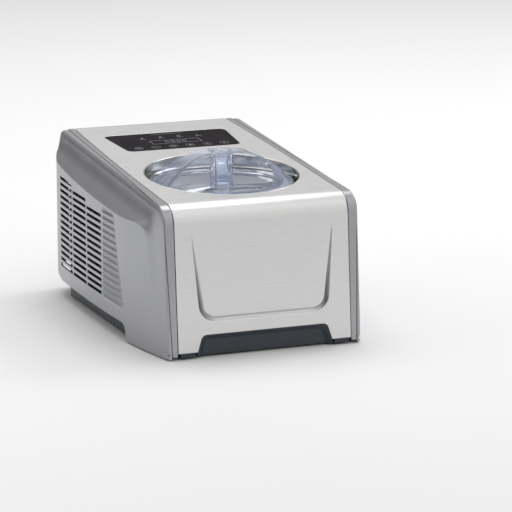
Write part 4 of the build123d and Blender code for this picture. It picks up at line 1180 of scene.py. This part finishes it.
# ---- smaller pieces
# CAD nodes whose hard edges are rounded: node, edge width, body.
SOFT_EDGES = (("base_tray", 0.5, "housing"), ("rear_panel", 0.5, "housing"),
              ("power_inlet", 0.6, "housing"), ("rear_screws", 0.4, "housing"),
              ("rubber_feet", 0.6, "housing"), ("well_collar", 0.3, "housing"), ("bowl", 0.4, "bowl"),
              ("paddle", 0.8, "paddle"))


def soft_nodes():
    for node, width, body in SOFT_EDGES:
        dress(softened(node, width), SLOTS[node], body)


# ---- stage
# World: a dim room with soft bright zones, each (direction, edge angle, core angle, level).
WORLD_LEVEL = 0.11
WORLD_GLOWS = (((0.05, 0.2, 1.0), 72, 18, 0.34), ((0.39, 0.80, 0.36), 30, 12, 0.46),
               ((0.36, -0.76, 0.54), 62, 14, 0.78), ((-0.62, 0.62, 0.45), 34, 6, 0.55))
# Softboxes: name, place, target, size in metres, power.
LIGHTS = (("top_box", (0.2, 1.3, 3.2), (0.0, 0.5, 0.0), (2.6, 2.0), 44),
          ("key_box", (2.6, 0.5, 2.6), (0.0, 0.1, 0.05), (1.5, 1.5), 32),
          ("left_box", (-1.6, 0.1, 0.9), (-0.14, -0.12, 0.19), (0.9, 0.5), 3.5))


FLOOR_HALF = 4500
# Camera: lens in mm, place in metres, degrees looked down, degrees turned from straight ahead.
LENS = 196.875
CAMERA_PLACE = (-1.2514, -3.3250, 0.8846)
CAMERA_DOWN = 12.804
CAMERA_TURN = -21.687


def area_light(name, place, target, size, power):
    data = bpy.data.lights.new(name, "AREA")
    data.shape = "RECTANGLE"
    data.size, data.size_y = size
    data.energy = power
    lamp = put(name, data)
    lamp.location = place
    lamp.rotation_euler = (Vector(target) - Vector(place)).to_track_quat("-Z", "Y").to_euler()


def glow(world, direction, edge, core, level):
    """Light from the world round one direction, fading out at its edge."""
    where = add(world, "ShaderNodeTexCoord")
    towards = add(world, "ShaderNodeVectorMath", operation="DOT_PRODUCT")
    towards.inputs[1].default_value = Vector(direction).normalized()
    join(where.outputs["Generated"], towards.inputs[0])
    fade = add(world, "ShaderNodeMapRange", interpolation_type="SMOOTHSTEP")
    fade.inputs["From Min"].default_value = math.cos(math.radians(edge))
    fade.inputs["From Max"].default_value = math.cos(math.radians(core))
    fade.inputs["To Max"].default_value = level
    join(towards.outputs["Value"], fade.inputs["Value"])
    return fade.outputs["Result"]


def studio():
    scene = bpy.context.scene
    scene.view_settings.view_transform = "Standard"
    world = bpy.data.worlds.new("studio")
    scene.world = world
    world.use_nodes = True
    background = world.node_tree.nodes["Background"]
    background.inputs["Color"].default_value = (1, 1, 1, 1)
    total = None
    for zone in WORLD_GLOWS:
        both = add(world, "ShaderNodeMath", operation="ADD")
        both.inputs[0].default_value = WORLD_LEVEL
        if total is not None:
            join(total, both.inputs[0])
        join(glow(world, *zone), both.inputs[1])
        total = both.outputs["Value"]
    join(total, background.inputs["Strength"])

    corners = [(x * FLOOR_HALF, y * FLOOR_HALF, 0) for x, y in ((-1, -1), (1, -1), (1, 1), (-1, 1))]
    floor = new_object("floor", corners, [[0, 1, 2, 3]])
    material, bsdf = shader("floor_white", (0.9, 0.9, 0.9), 0.7)
    vary(material, bsdf, noise(material, 2.0), (0.895, 0.895, 0.895), (0.905, 0.905, 0.905))
    floor.data.materials.append(material)
    for light in LIGHTS:
        area_light(*light)


def camera():
    data = bpy.data.cameras.new("camera")
    data.sensor_width = 36.0
    data.lens = LENS
    data.clip_end = 100
    obj = put("camera", data)
    obj.location = CAMERA_PLACE
    obj.rotation_euler = (math.radians(90 - CAMERA_DOWN), 0, math.radians(CAMERA_TURN))
    bpy.context.scene.camera = obj


# ---- everything
camera()
dress_frame()
steel_shell()
trim_strip(-1, "left_trim")
trim_strip(1, "right_trim")
side_covers()
control_panel()
soft_nodes()
lid_disc()
lid_handle()
studio()
